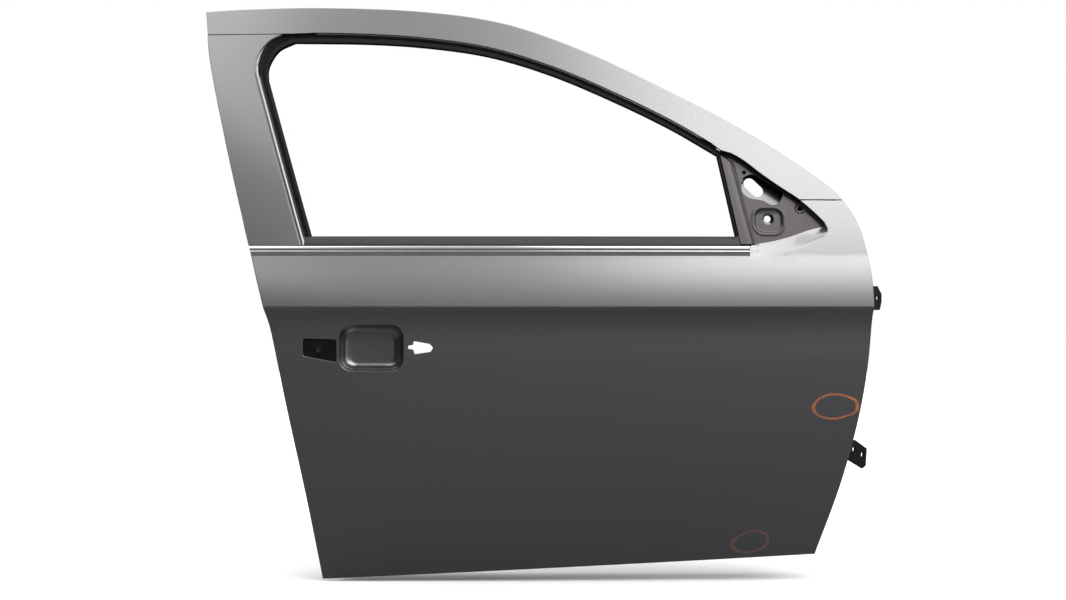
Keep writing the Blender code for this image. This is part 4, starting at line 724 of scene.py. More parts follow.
# Worn surfaces: two colours, roughness, metallic, grain, its depth, and for some the patches or the specular
dull_paint = worn_surface("dull_corner_paint", (0.074, 0.067, 0.070), (0.090, 0.082, 0.085),
                          (0.285, 0.33), 0.65, 800.0, 0.0001)
chrome = worn_surface("bright_strip", (0.80, 0.81, 0.82), (0.68, 0.69, 0.71),
                      (0.07, 0.16), 1.0, 240.0, 0.00008, 14.0)
zinc = worn_surface("zinc_plating", (0.52, 0.50, 0.43), (0.36, 0.35, 0.31),
                    (0.26, 0.45), 1.0, 700.0, 0.0001, 90.0)
rubber = worn_surface("window_rubber", (0.008, 0.008, 0.009), (0.019, 0.019, 0.020),
                      (0.48, 0.66), 0.0, 900.0, 0.0002, specular=0.12)
dusty_rubber = worn_surface("belt_rubber", (0.016, 0.015, 0.017), (0.032, 0.031, 0.033),
                            (0.45, 0.62), 0.0, 900.0, 0.0002)
coating = worn_surface("black_dip_coating", (0.007, 0.007, 0.008), (0.015, 0.015, 0.015),
                       (0.34, 0.52), 0.1, 500.0, 0.0002, specular=0.08)
plastic = worn_surface("black_moulded_plastic", (0.006, 0.006, 0.007), (0.013, 0.013, 0.013),
                       (0.38, 0.55), 0.0, 1400.0, 0.00015, specular=0.15)


# Pieces

def sail_upper_z(x):
    return curve_value(SAIL_UPPER, x)


def sail_upper_x(z):
    low, high = SAIL_UPPER[0][0], SAIL_UPPER[-1][0]
    for _ in range(40):
        middle = (low + high) / 2
        if sail_upper_z(middle) > z:
            low = middle
        else:
            high = middle
    return low


def floor_z(x):
    return curve_value(SAIL_FLOOR, min(max(x, SAIL_FLOOR[0][0]), SAIL_FLOOR[-1][0]))


def skin_outline():
    seam_z = SEAM_FRONT_Z - SEAM_GAP
    belt = [(rear_x(SKIN_TOP), SKIN_TOP), (SAIL_LOWER[0][0], SKIN_TOP)]
    edge = [*SAIL_LOWER, SAIL_TIP] + [point for point in SAIL_UPPER[::-1] if point[1] < SEAM_FRONT_Z]
    curved = len(SAIL_LOWER) + 1
    sail = smooth_path(edge[:curved], 22) + edge[curved:]
    seam = [(sail_upper_x(seam_z), seam_z), (front_x(seam_z), seam_z)]
    front = [(front_x(z), z) for z in steps(seam_z, SHOULDER_HEIGHT, 8)[1:-1] + FRONT_ROWS[::-1]]
    sill = [(front_x(SILL_FRONT_Z), SILL_FRONT_Z), (rear_x(SILL_REAR_Z), SILL_REAR_Z)]
    return belt + sail + seam + front + sill + [(rear_x(z), z) for z in SKIN_ROWS]


def near_loop(loop, margin=0.004):
    """Test whether a point lies within a loop's box, with a margin."""
    (low_x, high_x), (low_z, high_z) = [(min(values) - margin, max(values) + margin) for values in zip(*loop)]
    return lambda point: low_x < point.x < high_x and low_z < point.z < high_z


def is_sail_place(x, z):
    """Whether a place near the skin's edge lies on the border of the mirror corner."""
    beside = SAIL_LOWER[0][0] - 0.004 < x < min(SAIL_TIP[0] + 0.006, front_x(z) - 0.012)
    return beside and SAIL_LOWER[0][1] - 0.005 < z <= SEAM_FRONT_Z - 0.004


def meets_panel(x, z):
    """Whether a place lies on the skin's edge at the belt or at the header's seam."""
    belt = z > SKIN_TOP - 0.003 and x < SAIL_LOWER[0][0] + 0.001
    return belt or (z > SEAM_FRONT_Z - SEAM_GAP - 0.003 and x > 0.4)


def sail_roll(x, z, share):
    """Skin's edge at the mirror corner, rolled in by a share of the way to the recessed panel."""
    depth = (SAIL_DEPTH - GAP) * share**2 * (3 - 2 * share)
    if z <= SAIL_TIP[1] + 0.001:
        reach = max(floor_z(x) - z, 0.002)
        return at(x + (0.008 if x < 0.41 else -0.002) * share, z + reach * share, depth)
    return at(x - 0.003 * share, z - 0.003 * share, depth)


def outer_skin():
    """Outer panel: hem all round, lips at the handle's openings and the handle's bowl."""
    radius = EDGE_ROUND
    bowl = rounded(BOWL_CENTRE, BOWL_SIZE, BOWL_CORNER, 10)
    holes = [round_corners(REAR_APERTURE, 0.004), round_corners(FRONT_APERTURE, 0.0016, 3)]
    cuts = [inset_loop(hole, -APERTURE_LIP[-1][0]) for hole in holes]
    bm = sheet([inset_loop(skin_outline(), radius), bowl, *cuts], on_face(), COLUMNS,
               SKIN_ROWS + steps(0.103, 0.193, 9))
    hem = [(radius * math.sin(turn), radius * (1 - math.cos(turn))) for turn in quarter(4)]
    hem += [(radius * math.cos(turn), HEM_DEPTH - radius + radius * math.sin(turn)) for turn in quarter(3)]
    hem.append((-HEM_WIDTH + radius, HEM_DEPTH))

    def hem_move(index):
        out, down = hem[index]

        def move(x, z, way):
            if meets_panel(x, z):
                return out_and_down(radius if down > radius else out, down)(x, z, way)
            if is_sail_place(x, z):
                return sail_roll(x, z, (index + 1) / len(hem))
            return out_and_down(out, down)(x, z, way)
        return move
    in_handle = near_loop([*bowl, *cuts[0], *cuts[1]])
    rim = open_edges(bm, lambda point: not in_handle(point))
    fold(bm, rim, [hem_move(index) for index in range(len(hem))])
    for hole in holes:
        fold(bm, open_edges(bm, near_loop(hole)), [out_and_down(*step) for step in APERTURE_LIP])
    press_bowl(bm, bowl)
    return pressed("door_outer_skin", bm, marked_paint)


def press_bowl(bm, bowl):
    """Press the handle's bowl into the skin, and close it with rings that shrink to its middle."""
    def inward(share, depth):
        def move(x, z, way):
            u = BOWL_CENTRE[0] + (x - BOWL_CENTRE[0]) * share
            return at(u, BOWL_CENTRE[1] + (z - BOWL_CENTRE[1]) * share, depth)
        return move
    share, depth = BOWL_LIP[-1]
    profile = [(share - BOWL_WALL * (1 - math.cos(turn)), depth + (BOWL_DEPTH - depth) * math.sin(turn))
               for turn in quarter(12)]
    rim = fold(bm, open_edges(bm, near_loop(bowl)), [inward(*step) for step in (*BOWL_LIP[:-1], *profile)])
    for share in BOWL_RINGS:
        verts, rim = extrude(bm, rim)
        xs, zs = [vert.co.x for vert in verts], [vert.co.z for vert in verts]
        cx, cz = (min(xs) + max(xs)) / 2, (min(zs) + max(zs)) / 2
        shrink = share / ((max(xs) - min(xs)) / BOWL_SIZE[0])
        for vert in verts:
            vert.co = at(cx + (vert.co.x - cx) * shrink, cz + (vert.co.z - cz) * shrink,
                         BOWL_DEPTH + 0.0005 * (0.5 - share))
    bmesh.ops.holes_fill(bm, edges=rim)


def window_side_x(z, foot_x, head):
    """Straight side of the window, from its foot at the belt to its head."""
    return foot_x + (head[0] - foot_x) * (z - BELT_SEAL_TOP) / (head[1] - BELT_SEAL_TOP)


def window_front_x(z):
    return window_side_x(z, WINDOW_FRONT_FOOT_X, WINDOW_TOP[-1])


def window_rear_x(z):
    return window_side_x(z, WINDOW_REAR_FOOT_X, WINDOW_REAR_HEAD)


def window_path(low_rear, low_front=None):
    """Points up the rear side, round the corner, along the top and down the front, with seal widths."""
    rear = [(window_rear_x(z), z) for z in steps(low_rear, WINDOW_REAR_HEAD[1], 10)[:-1]]
    corner = smooth_path(WINDOW_CORNER, CORNER_STEPS)
    top = [(x, curve_value(WINDOW_TOP, x)) for x in steps(WINDOW_TOP[0][0], WINDOW_TOP[-1][0], 42)[1:]]
    heights = steps(WINDOW_TOP[-1][1], low_front, 5)[1:] if low_front else []
    front = [(window_front_x(z), z) for z in heights]
    widths = [SEAL_REAR_WIDTH] * len(rear) + steps(SEAL_REAR_WIDTH, SEAL_TOP_WIDTH, len(corner) - 1)
    widths += steps(SEAL_TOP_WIDTH, SEAL_HEAD_WIDTH, len(top))[1:] + [SEAL_FRONT_WIDTH] * len(front)
    return rear + corner + top + front, widths


def corner_place(path, index, out, side_out):
    """Place beside a corner of a path, out from the way before it and side_out from the way after it."""
    a, b = left_of(path[index - 1], path[index]), left_of(path[index], path[index + 1])
    turn = a.x * b.y - a.y * b.x
    x = (out * b.y - side_out * a.y) / turn
    z = (a.x * side_out - b.x * out) / turn
    return path[index][0] + x, path[index][1] + z


def pillar_side_x(z):
    run = (SEAL_REAR_WIDTH + RUN_CLEARANCE) * SIDE_STRETCH
    return window_rear_x(z) - run - STRIP_WIDTH


def header_outer():
    """Header panel with a narrow stepped strip along the window."""
    seam_rear = SEAM_REAR_Z + SEAM_GAP
    start_x, (end_x, end_z) = WINDOW_TOP[0][0], WINDOW_TOP[-1]
    top = [(x, top_z(x)) for x in steps(TOP_EDGE[0][0], TOP_EDGE[-1][0], 72)]
    seam = [(front_x(SEAM_FRONT_Z), SEAM_FRONT_Z), (sail_upper_x(SEAM_FRONT_Z), SEAM_FRONT_Z)]
    sail = [(x, sail_upper_z(x)) for x in steps(SAIL_UPPER[0][0], SAIL_UPPER[4][0], 12)[-2:0:-1]]
    path, widths = window_path(BELT_SEAL_TOP)
    edge = []
    for (x, z), way, width in zip(path, side_normals(path), widths):
        if x > start_x - 0.001 and z > end_z - 0.001:
            share = smooth_step(x, start_x, start_x + 2 * STRIP_FADE)
            share *= 1 - smooth_step(x, end_x - STRIP_FADE, end_x)
            out = width + RUN_CLEARANCE + HEADER_STRIP * share
            edge.append((x + way.x * out, z + way.y * out))
    rear = [(pillar_side_x(seam_rear), seam_rear), (rear_x(seam_rear), seam_rear)]
    loop = inset_loop(top + seam + sail + edge[::-1] + rear, EDGE_ROUND)
    bm = sheet([loop], on_face(), COLUMNS, FRAME_ROWS)
    strip_start = next(x for x, _ in edge if x > start_x + STRIP_FADE)
    strip_end = edge[-1][0] - 0.03

    def strip(out, down, reach=0.0):
        def move(x, z, way):
            beside = way.z > 0.5 and strip_start < x < strip_end
            return out_and_down(out + reach if beside else out, down)(x, z, way)
        return move
    turn = math.radians(45)
    moves = [strip(EDGE_ROUND * math.sin(turn), EDGE_ROUND * (1 - math.cos(turn)))]
    moves += [strip(EDGE_ROUND, down, share * HEADER_STRIP) for down, share in HEADER_STEP]
    fold(bm, open_edges(bm), moves)
    return pressed("door_header_panel", bm, paint)


def pillar_side_path():
    """Window-side edge of the pillar's main face, as places with their way and the strip's width.

    It runs straight up the pillar and round the window's corner to the seam.
    """
    path, _ = window_path(PILLAR_LOW)
    strip = STRIP_WIDTH / SIDE_STRETCH
    straight = next(i for i, point in enumerate(path) if point[1] > WINDOW_REAR_HEAD[1] - 0.001)
    found = []
    for i, (point, way) in enumerate(zip(path, side_normals(path))):
        share = min(max((i - straight) / CORNER_STEPS, 0.0), 1.0)
        out = SEAL_REAR_WIDTH + RUN_CLEARANCE + strip + CORNER_BULGE * math.sin(math.pi * share)
        width = strip + (HEADER_STRIP - strip) * smooth_step(share, 0.15, 0.75)
        place = Vector((point[0] + way.x * out, point[1] + way.y * out))
        if i == 0:
            place = Vector((pillar_side_x(PILLAR_LOW), PILLAR_LOW))
        if place.y > SEAM_REAR_Z:
            last, last_way, last_width = found[-1]
            t = (SEAM_REAR_Z - last.y) / (place.y - last.y)
            found.append((last.lerp(place, t), last_way, last_width))
            break
        found.append((place, way, width))
    return found


def pillar_y(x, z):
    """Outer face of the pillar, which turns a little to the rear towards its foot."""
    middle = (rear_x(z) + pillar_side_x(z)) / 2
    return skin_y(x, z) - PILLAR_TURN * (1 - smooth_step(z, 0.20, 0.46)) * (x - middle)


def b_pillar_outer():
    """Pillar panel with a stepped strip along the window that runs on round its corner."""
    side = pillar_side_path()
    radius = PILLAR_ROUND
    heights = [PILLAR_LOW] + [z for z in FRAME_ROWS if PILLAR_LOW < z < SEAM_REAR_Z] + [SEAM_REAR_Z]
    loop = [(rear_x(z), z) for z in heights] + [(place.x, place.y) for place, _, _ in side[::-1]]
    bm = sheet([inset_loop(loop, radius)], on_face(0.0, pillar_y), COLUMNS, FRAME_ROWS)

    def strip(out, down, share=0.0):
        def move(x, z, way):
            place, side_way, width = min(side, key=lambda item: (item[0] - Vector((x, z))).length_squared)
            if abs((Vector((x, z)) - place).dot(side_way)) >= 0.003 or way.x >= -0.2:
                return out_and_down(out, down, pillar_y)(x, z, way)
            reach = out + share * width
            u, v = x - side_way.x * reach, min(z - side_way.y * reach, SEAM_REAR_Z - 0.0002)
            if z < PILLAR_LOW + 0.003:
                v = min(z, PILLAR_LOW + radius)
            return at(u, v, down, pillar_y)
        return move
    turn = math.radians(45)
    moves = [strip(radius * math.sin(turn), radius * (1 - math.cos(turn))), strip(radius, radius)]
    moves += [strip(radius, STRIP_DEPTH + deeper, share) for deeper, share in PILLAR_STEP]
    fold(bm, open_edges(bm), moves + [strip(radius, FLANGE, 0.95)])
    return pressed("rear_pillar_panel", bm, paint, pillar_y)


def glass_run_seal():
    """Rubber channel: a rounded outer lip, a groove for the glass and an inner lip."""
    path, widths = window_path(BELT_SEAL_TOP + GAP, BELT_SEAL_TOP + GAP)
    corner = next(i for i, point in enumerate(path) if point[0] > WINDOW_TOP[-1][0] - 0.0001)
    near, far, wall = SEAL_OUTER_DEPTH, SEAL_INNER_DEPTH, SEAL_WALL
    ways = side_normals(path)
    for end in (0, -1):
        ways[end] = Vector((1 / ways[end].x, 0.0))
    rings = []
    for i, (point, way, w) in enumerate(zip(path, ways, widths)):
        inner = max(w - wall, 0.5 * w)
        ring = []
        for out, depth in ((0.0, near + 0.0012), (0.0006, near + 0.0003), (0.25 * w, near - 0.0002),
                           (0.55 * w, near + 0.0009), (0.72 * w, near + 0.0022), (0.84 * w, near + 0.0004),
                           (w, near), (w, far), (0.3 * w, far), (0.0, far - 0.0012), (0.0, far - wall),
                           (inner, far - wall), (inner, near + wall), (0.0, near + wall)):
            x, z = point[0] + way.x * out, point[1] + way.y * out
            if i == corner:
                x, z = corner_place(path, i, out, out * SEAL_FRONT_WIDTH / SEAL_HEAD_WIDTH)
            ring.append(at(x, z, depth))
        rings.append(ring)
    return new_object("window_rubber_channel", loft(rings), rubber, angle=50)


def corner_moulding():
    """Rubber bead that fills the crescent between the glass run and the strip round the corner."""
    path, widths = window_path(PILLAR_LOW)
    side = pillar_side_path()[:-1]
    rings = []
    for point, way, width, (place, _, strip) in zip(path, side_normals(path), widths, side):
        inner = width + GAP
        outer = (place - Vector(point)).dot(way) - 0.95 * strip - 0.0012
        if outer - inner < 0.0012 or point[1] < WINDOW_REAR_HEAD[1] - 0.001:
            continue
        ring = []
        for across, depth in CORNER_BEAD:
            out = inner + (outer - inner) * across
            x, z = point[0] + way.x * out, min(point[1] + way.y * out, SEAM_REAR_Z - 0.0025)
            ring.append(at(x, z, SEAL_OUTER_DEPTH + depth))
        rings.append(ring)
    return new_object("window_corner_rubber", loft(rings), rubber, angle=50)


def belt_piece(name, profile, start_x, end_x, look):
    """Bar along the belt with a profile of (depth, height) pairs."""
    rings = [[at(start_x(z) * (1 - share) + end_x(z) * share, z, depth) for depth, z in profile]
             for share in steps(0.0, 1.0, 60)]
    return new_object(name, loft(rings), look, angle=50)


def belt_moulding():
    """Bright strip: a crowned upper band, a groove and a lower band that turns under."""
    low, top = CHROME_LOW, CHROME_TOP
    profile = [(-CHROME_PROUD * out, low + (top - low) * up) for out, up in CHROME_SECTION]
    return belt_piece("bright_belt_strip", [(-GAP, low), *profile, (-GAP, top)], lambda z: rear_x(z) + 0.001,
                      lambda z: CHROME_FRONT, chrome)


def outer_belt_seal():
    low, top, reach = CHROME_TOP + GAP, BELT_SEAL_TOP, BELT_SEAL_REACH
    tall = top - low
    profile = [(-0.0025, low), (-0.0028, low + 0.12 * tall), (-0.0012, low + 0.35 * tall),
               (0.12 * reach, low + 0.62 * tall), (0.34 * reach, low + 0.88 * tall),
               (0.62 * reach, top - 0.0005), (reach, top), (reach, top - 0.0016),
               (0.5 * reach, low + 0.6 * tall), (0.3 * reach, low)]
    return belt_piece("outer_belt_rubber", profile, lambda z: pillar_side_x(z) + STRIP_WIDTH + 0.0015,
                      lambda z: window_front_x(z) + SEAL_FRONT_WIDTH - 0.002, dusty_rubber)


def box_distance(x, z, centre, size, radius):
    """Distance outside a rectangle with round corners, negative inside."""
    dx = abs(x - centre[0]) - size[0] / 2 + radius
    dz = abs(z - centre[1]) - size[1] / 2 + radius
    outside = math.hypot(max(dx, 0.0), max(dz, 0.0))
    return outside + min(max(dx, dz), 0.0) - radius


def sail_line_x(z):
    """Edge of the raised strip beside the window."""
    (top_x, top), (foot_x, foot) = SAIL_LINE
    return top_x + (foot_x - top_x) * (z - top) / (foot - top)


def sail_floor_depth(x, z):
    """Depth of the recessed panel, with its dished pad, the ring round the small hole and the strip."""
    edge = box_distance(x, z, PAD_CENTRE, PAD_SIZE, PAD_CORNER)
    closed = 1 - smooth_step(z, PAD_CENTRE[1] + 0.010, PAD_CENTRE[1] + 0.028)
    dish = (1 - smooth_step(edge, -0.0050, 0.0005)) * (0.35 + 0.65 * closed)
    lip = math.exp(-((edge - 0.0022) / 0.0020)**2) * closed
    ring = 1 - smooth_step(math.dist((x, z), SAIL_HOLES[1][0]), 0.0070, 0.0105)
    (top_x, top), (notch_x, notch) = SAIL_LINE[0], SAIL_NOTCH
    along = math.hypot(top_x - notch_x, top - notch)
    above = ((z - top) * (top_x - notch_x) - (x - top_x) * (top - notch)) / along
    beside = x - sail_line_x(z)
    strip = (1 - smooth_step(beside, -0.0020, 0.0004)) * (1 - smooth_step(above, -0.0020, 0.0004))
    hollow = math.exp(-((beside + 0.0075) / 0.0045)**2)
    rise = SAIL_RIDGE_RISE * strip * (1 - 0.25 * hollow)
    return SAIL_DEPTH + SHEET + 3 * GAP + PAD_DROP * dish - 0.0007 * lip + 0.0016 * ring - rise


def sail_surface(x, z):
    return skin_y(x, z) + sail_floor_depth(x, z)


def mirror_panel():
    """Recessed mirror corner with its holes, and a flange beside the window that reaches the glass run."""
    foot_x, foot = SAIL_RIDGE_FOOT
    head = SAIL_UPPER[0][1] - 0.0012
    low_x, tip_x = 0.345, SAIL_TIP[0]

    def edge_x(z):
        return window_front_x(z) + SEAL_FRONT_WIDTH + 3 * GAP
    upper = [(x, sail_upper_z(x) + SAIL_TUCK) for x in steps(SAIL_UPPER[0][0] + 0.001, SAIL_UPPER[-1][0], 28)]
    lower = [(x, floor_z(x) - SAIL_TUCK) for x in steps(foot_x, SAIL_FLOOR[-1][0], 18)[:0:-1]]
    side = [(foot_x, foot)] + [(edge_x(z), z) for z in steps(foot, head, 24)]
    holes = [smooth_path(SAIL_OPENING + SAIL_OPENING[:1], 52)[:-1], circle(*STUD_HOLE, 28)]
    holes += [circle(centre, radius, 20) for centre, radius in SAIL_HOLES]
    columns = steps(low_x, tip_x, round((tip_x - low_x) / SAIL_MESH))
    rows = steps(foot, head, round((head - foot) / SAIL_MESH))
    outline = upper + [(tip_x + SAIL_TUCK, SAIL_TIP[1])] + lower + side
    bm = sheet([outline] + holes, on_face(0.0, sail_surface), columns, rows)

    def lip(out, down):
        return lambda x, z, way: out_and_down(out, sail_floor_depth(x, z) + down)(x, z, way)
    for hole in holes:
        fold(bm, open_edges(bm, near_loop(hole, 0.0008)), [lip(0.0004, 0.0004), lip(0.0006, 0.0016)])

    def on_side(point):
        return abs(point.x - edge_x(point.z)) < 0.0006 and foot + 0.001 < point.z < head
    fold(bm, open_edges(bm, on_side), [out_and_down(0.0, SEAL_INNER_DEPTH)])
    return pressed("mirror_corner_panel", bm, dull_paint, sail_surface)


def slot_loop(centre, length, width, turn, count=10):
    loop = []
    for end in (1, -1):
        for i in range(count + 1):
            angle = math.pi * (i / count - 0.5) + (0 if end == 1 else math.pi)
            x = end * (length - width) / 2 + width / 2 * math.cos(angle)
            z = width / 2 * math.sin(angle)
            loop.append((centre[0] + x * math.cos(turn) - z * math.sin(turn),
                         centre[1] + x * math.sin(turn) + z * math.cos(turn)))
    return loop


def mirror_reinforcement():
    """Second layer behind the mirror corner, with its slot and hole."""
    inset = INNER_CORNER_INSET
    side_x = [window_front_x(z) + SEAL_FRONT_WIDTH + 6 * GAP for z in (INNER_CORNER_LOW, SAIL_RIDGE_TOP[1])]
    top = [(x, top_z(x) - inset) for x in steps(side_x[1], TOP_EDGE[-1][0] - inset, 18)]
    front = [(front_x(z) - inset, z) for z in steps(INNER_CORNER_LOW, 0.175, 8)][::-1]
    loop = top + front + [(side_x[0], INNER_CORNER_LOW), (side_x[1], SAIL_RIDGE_TOP[1])]
    slot = slot_loop(BACK_SLOT_CENTRE, BACK_SLOT_LENGTH, BACK_SLOT_WIDTH, math.radians(-45))
    bm = sheet([loop, slot, circle(*BACK_HOLE, 24)], on_face(SAIL_BACK_DEPTH), COLUMNS, FRAME_ROWS)

    def at_rim(point):
        at_front = point.x > front_x(point.z) - inset - 0.002
        at_top = point.z > top_z(point.x) - inset - 0.002
        return (at_front or at_top) and point.z > INNER_CORNER_LOW + 0.001 and point.x > side_x[1] + 0.001
    fold(bm, open_edges(bm, at_rim), [out_and_down(0.0, FLANGE + 2 * GAP)])
    return pressed("mirror_corner_back_layer", bm, thin_paint, None, FRAME_SHEET)


def wall_stations():
    """Places round the rear, sill and front edges, each with its inward shares in x and z."""
    corner = WALL_INSET + WALL_LEAN + WALL_ROUND + 0.003
    rows = [z for z in SKIN_ROWS if SILL_REAR_Z + corner < z < WALL_TOP - 0.004]
    corners = [rear_x(SILL_REAR_Z), front_x(SILL_FRONT_Z)]
    rear = [(rear_x(z), z, 1.0, 0.0) for z in [WALL_TOP] + rows[::-1]]
    sill = [(x, sill_z(x), 0.0, 1.0) for x in COLUMNS if corners[0] + corner < x < corners[1] - corner]
    front = [(front_x(z), z, -1.0, 0.0) for z in rows + [WALL_TOP] if z > SILL_FRONT_Z + corner]
    return (rear + [(corners[0], SILL_REAR_Z, 1.0, 1.0)] + sill + [(corners[1], SILL_FRONT_Z, -1.0, 1.0)]
            + front)


def wall_profile(x, z, to_x, to_z):
    """Places from the edge of the main wall outward to the hem, with the bends rounded."""
    foot_y = skin_y(x + to_x * WALL_INSET, z + to_z * WALL_INSET) + SHEET + HEM_GAP

    def place(inset, share):
        u, v = x + to_x * inset, z + to_z * inset
        if inset < WALL_INSET:
            return at(u, v, SHEET + HEM_GAP)
        return Vector((u, foot_y + (INNER_Y - foot_y) * share, v))
    hem, foot = place(FLANGE_INSET, 0.0), place(WALL_INSET, 0.0)
    if to_x < 0 and to_z == 0:
        wall_x = min(HINGE_WALL_X, foot.x - HINGE_WALL_STEP)
        height = max(z, sill_z(wall_x) + WALL_INSET + WALL_LEAN + HINGE_WALL_FOOT)
        middle = Vector((wall_x, max(HINGE_WALL_Y, skin_y(wall_x, height) + 4 * SHEET), height))
        edge = Vector((wall_x, INNER_Y, height))
    else:
        middle = place(WALL_INSET + WALL_BEND * WALL_LEAN, WALL_BEND)
        edge = place(WALL_INSET + WALL_LEAN, 1.0)
    corners = [edge + Vector((to_x, 0.0, to_z)) * WALL_ROUND, edge, middle, foot, hem]
    found = corners[:1]
    for before, corner, after, radius in zip(corners, corners[1:], corners[2:], WALL_BENDS):
        found += bend(before, corner, after, radius)
    return found + [hem]


def wall_swage(x, z):
    """How far the main wall is pressed into the door at a place: seats round the openings, and beads."""
    opening = min(box_distance(x, z, centre, size, SERVICE_CORNER) for centre, size in SERVICE_HOLES)
    opening = min(opening, math.hypot(x - SPEAKER_CENTRE[0], z - SPEAKER_CENTRE[1]) - SPEAKER_RADIUS)
    seat = 1 - smooth_step(opening, SEAT_WIDTH, SEAT_WIDTH + 0.009)
    bead = min(box_distance(x, z, centre, size, min(size) / 2 - 0.0001) for centre, size in BEADS)
    in_bead = 1 - smooth_step(bead, -0.006, 0.004)
    return -SEAT_DEPTH * max(seat, in_bead * smooth_step(opening, SEAT_WIDTH + 0.009, SEAT_WIDTH + 0.020))


def inner_panel():
    """Pressed inner panel: hem flange, walls with rounded bends, seats and lips round its openings."""
    profiles = [wall_profile(*station) for station in wall_stations()]
    loop = [(profile[0].x, profile[0].z) for profile in profiles]
    rim = loop + [(loop[-1][0], INNER_TOP), (loop[0][0], INNER_TOP)]
    lip = SERVICE_LIP[-1][0]
    cuts = [rounded(centre, [side + 2 * lip for side in size], SERVICE_CORNER + lip, 10)
            for centre, size in SERVICE_HOLES]
    cuts.append(circle(SPEAKER_CENTRE, SPEAKER_RADIUS + lip, 56))

    def on_wall(x, z):
        return Vector((x, INNER_Y + wall_swage(x, z), z))
    bm = sheet([rim] + cuts, on_wall, steps(-0.50, 0.52, 128), steps(-0.45, INNER_TOP, 72))

    def station_at(x, z):
        """Distance of a place from the wall's edge, and which stretch of the edge is nearest."""
        found = []
        for i, (a, b) in enumerate(zip(loop, loop[1:])):
            way, place = Vector(b) - Vector(a), Vector((x, z)) - Vector(a)
            t = min(max(place.dot(way) / way.length_squared, 0.0), 1.0)
            found.append(((place - way * t).length, i, t))
        return min(found)

    def outward(index):
        def move(x, z, way):
            _, i, t = station_at(x, z)
            return profiles[i][index].lerp(profiles[i + 1][index], t)
        return move

    def into_door(out, depth):
        return lambda x, z, way: Vector((x - way.x * out, INNER_Y - SEAT_DEPTH - depth, z - way.z * out))
    for hole in cuts:
        fold(bm, open_edges(bm, near_loop(hole, 0.0005)), [into_door(*step) for step in SERVICE_LIP])
    fold(bm, open_edges(bm, lambda point: station_at(point.x, point.z)[0] < 0.0005),
         [outward(i) for i in range(1, len(profiles[0]))])
    low_y, high_y, low_z, high_z = LATCH_SLOT
    slot_x = rear_x((low_z + high_z) / 2)
    cutters = [box_bm((slot_x, low_y, low_z), (slot_x + LATCH_CUT, high_y, high_z))]
    for centre in (UPPER_HINGE_Z, LOWER_HINGE_Z):
        for z in (centre + DOOR_BOLT_SPREAD, centre - DOOR_BOLT_SPREAD):
            cutters.append(rod_bm((HINGE_WALL_X, DOOR_BOLT_Y, z), BOLT_HOLE_RADIUS))
    return pressed("door_inner_panel", bm, paint, None, cutters=cutters)


def box_bm(low, high):
    bm = bmesh.new()
    bmesh.ops.create_cube(bm, size=1.0)
    for vert in bm.verts:
        vert.co = Vector([a + (b - a) * (c + 0.5) for a, b, c in zip(low, high, vert.co)])
    return bm


def rod_bm(centre, radius, length=0.02):
    """Round bar along X."""
    bm = bmesh.new()
    bmesh.ops.create_cone(bm, cap_ends=True, segments=24, radius1=radius, radius2=radius, depth=length)
    for vert in bm.verts:
        vert.co = Vector((vert.co.z, vert.co.y, vert.co.x)) + Vector(centre)
    bmesh.ops.recalc_face_normals(bm, faces=bm.faces[:])
    return bm


# Stage, light and camera

def studio_floor():
    """Floor that keeps the shadow; white to the camera, brighter far away, and dim to the paint."""
    bm = bmesh.new()
    bmesh.ops.create_grid(bm, x_segments=2, y_segments=2, size=9.0)
    for vert in bm.verts:
        vert.co.z = SILL_REAR_Z - FLOOR_GAP
    floor = link_mesh("studio_floor", bm)
    material, tree, inputs = new_material("pale_floor")
    seen = add_node(tree, "ShaderNodeLightPath").outputs["Is Camera Ray"]
    reach = add_node(tree, "ShaderNodeVectorMath", operation="LENGTH")
    plug(tree, add_node(tree, "ShaderNodeTexCoord").outputs["Object"], reach.inputs[0])
    far = maths(tree, "MULTIPLY", remap(tree, reach.outputs["Value"], *FLOOR_FAR, 0.0, 1.0), seen)
    plug(tree, mix_colour(tree, seen, FLOOR_REFLECTED, FLOOR_SEEN), inputs["Base Color"])
    plug(tree, (1.0, 1.0, 1.0), inputs["Emission Color"])
    plug(tree, maths(tree, "MULTIPLY", far, FLOOR_GLOW), inputs["Emission Strength"])
    plug(tree, 0.9, inputs["Roughness"])
    plug(tree, 0.0, inputs["Specular IOR Level"])
    floor.data.materials.append(material)


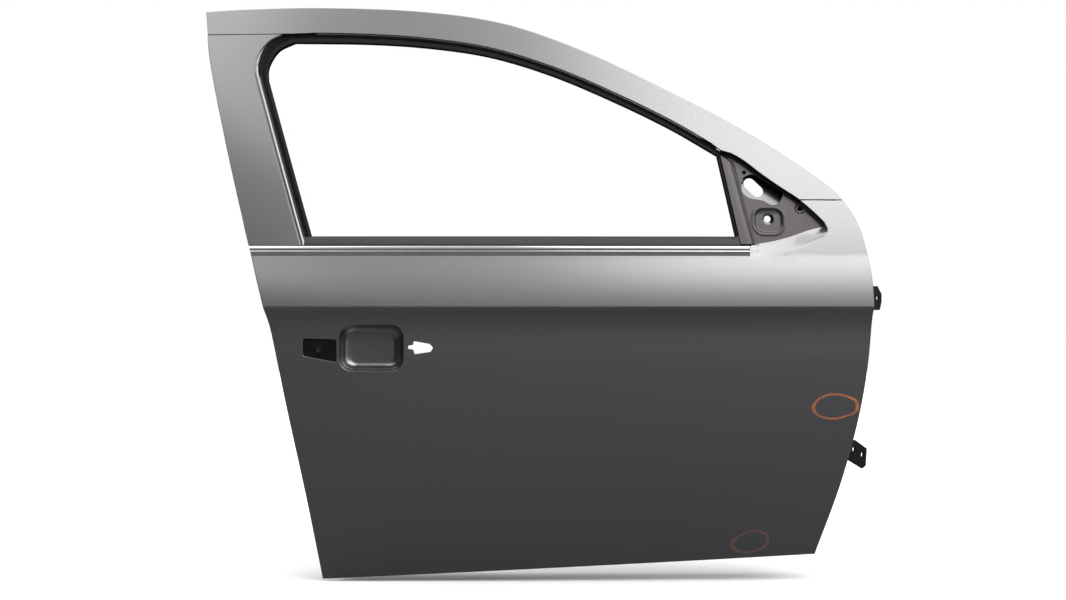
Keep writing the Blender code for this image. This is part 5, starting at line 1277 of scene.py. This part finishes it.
def build_world():
    """White to the camera and behind the door; in front of it a soft sky over a dark ground."""
    world = bpy.data.worlds.new("studio")
    bpy.context.scene.world = world
    world.use_nodes = True
    tree = world.node_tree
    background = tree.nodes["Background"]
    side, away, up = axes_of(tree, "Generated")
    turn = maths(tree, "DEGREES", maths(tree, "ARCTAN2", side, maths(tree, "MULTIPLY", away, -1.0)))
    height = maths(tree, "DEGREES", maths(tree, "ARCSINE", up))
    lean = maths(tree, "MULTIPLY", maths(tree, "SUBTRACT", height, SKY_LEAN_FROM), SKY_LEAN)
    measures = {"height": height, "turn": turn, "tilted": maths(tree, "ADD", turn, lean)}

    def light(ramps):
        return chain(tree, "MULTIPLY", [remap(tree, measures[name], *values, "SMOOTHSTEP")
                                        for name, *values in ramps])
    total = chain(tree, "ADD", [light(ramps) for ramps in SKY])
    total = maths(tree, "MULTIPLY", total, maths(tree, "SUBTRACT", 1.0, light(SKY_SHADE)))
    behind = remap(tree, away, 0.0, 0.25, 0.0, 1.0, "SMOOTHSTEP")
    seen = add_node(tree, "ShaderNodeLightPath").outputs["Is Camera Ray"]
    strength = add_node(tree, "ShaderNodeMix", data_type="FLOAT")
    for index, value in ((0, maths(tree, "MAXIMUM", seen, behind)), (2, total), (3, 1.0)):
        plug(tree, value, strength.inputs[index])
    plug(tree, strength.outputs[0], background.inputs["Strength"])
    plug(tree, (1.0, 1.0, 1.0), background.inputs["Color"])


def add_camera():
    camera = bpy.data.cameras.new("camera")
    camera.sensor_width = 36.0
    camera.lens = camera.sensor_width * CAMERA_DISTANCE / FRAME_WIDTH
    holder = bpy.data.objects.new("camera", camera)
    holder.location = Vector((0.0, -CAMERA_DISTANCE, CAMERA_HEIGHT)) - ORIGIN
    holder.rotation_euler = (math.radians(90), 0.0, 0.0)
    bpy.context.scene.collection.objects.link(holder)
    bpy.context.scene.camera = holder


def finish_cad_nodes():
    """Materials of the solids that the scene shows as they are."""
    looks = {"window_frame": thin_paint, "outer_belt_rail": thin_paint, "inner_belt_rail": thin_paint,
             "latch_reinforcement": thin_paint, "upper_hinge_reinforcement": thin_paint,
             "lower_hinge_reinforcement": thin_paint, "inner_panel": paint, "handle_carrier": plastic}
    for name, piece in frame["nodes"].items():
        look = zinc if {"pin", "bolt"} & set(name.split("_")) else looks.get(name, coating)
        for slot in piece.material_slots:
            slot.material = look


def main():
    bpy.context.scene.view_settings.view_transform = "Standard"
    finish_cad_nodes()
    place_piece(outer_skin(), ["outer_skin"])
    place_piece(header_outer(), ["header_outer"])
    place_piece(b_pillar_outer(), ["b_pillar_outer"])
    place_piece(mirror_panel(), ["mirror_panel"])
    place_piece(mirror_reinforcement(), ["mirror_reinforcement"])
    place_piece(inner_panel(), ["inner_panel"])
    place_piece(glass_run_seal(), ["glass_run_seal"])
    place_piece(corner_moulding(), ["corner_moulding"])
    place_piece(belt_moulding(), ["belt_moulding"])
    place_piece(outer_belt_seal(), ["outer_belt_seal"])
    studio_floor()
    build_world()
    add_camera()


main()
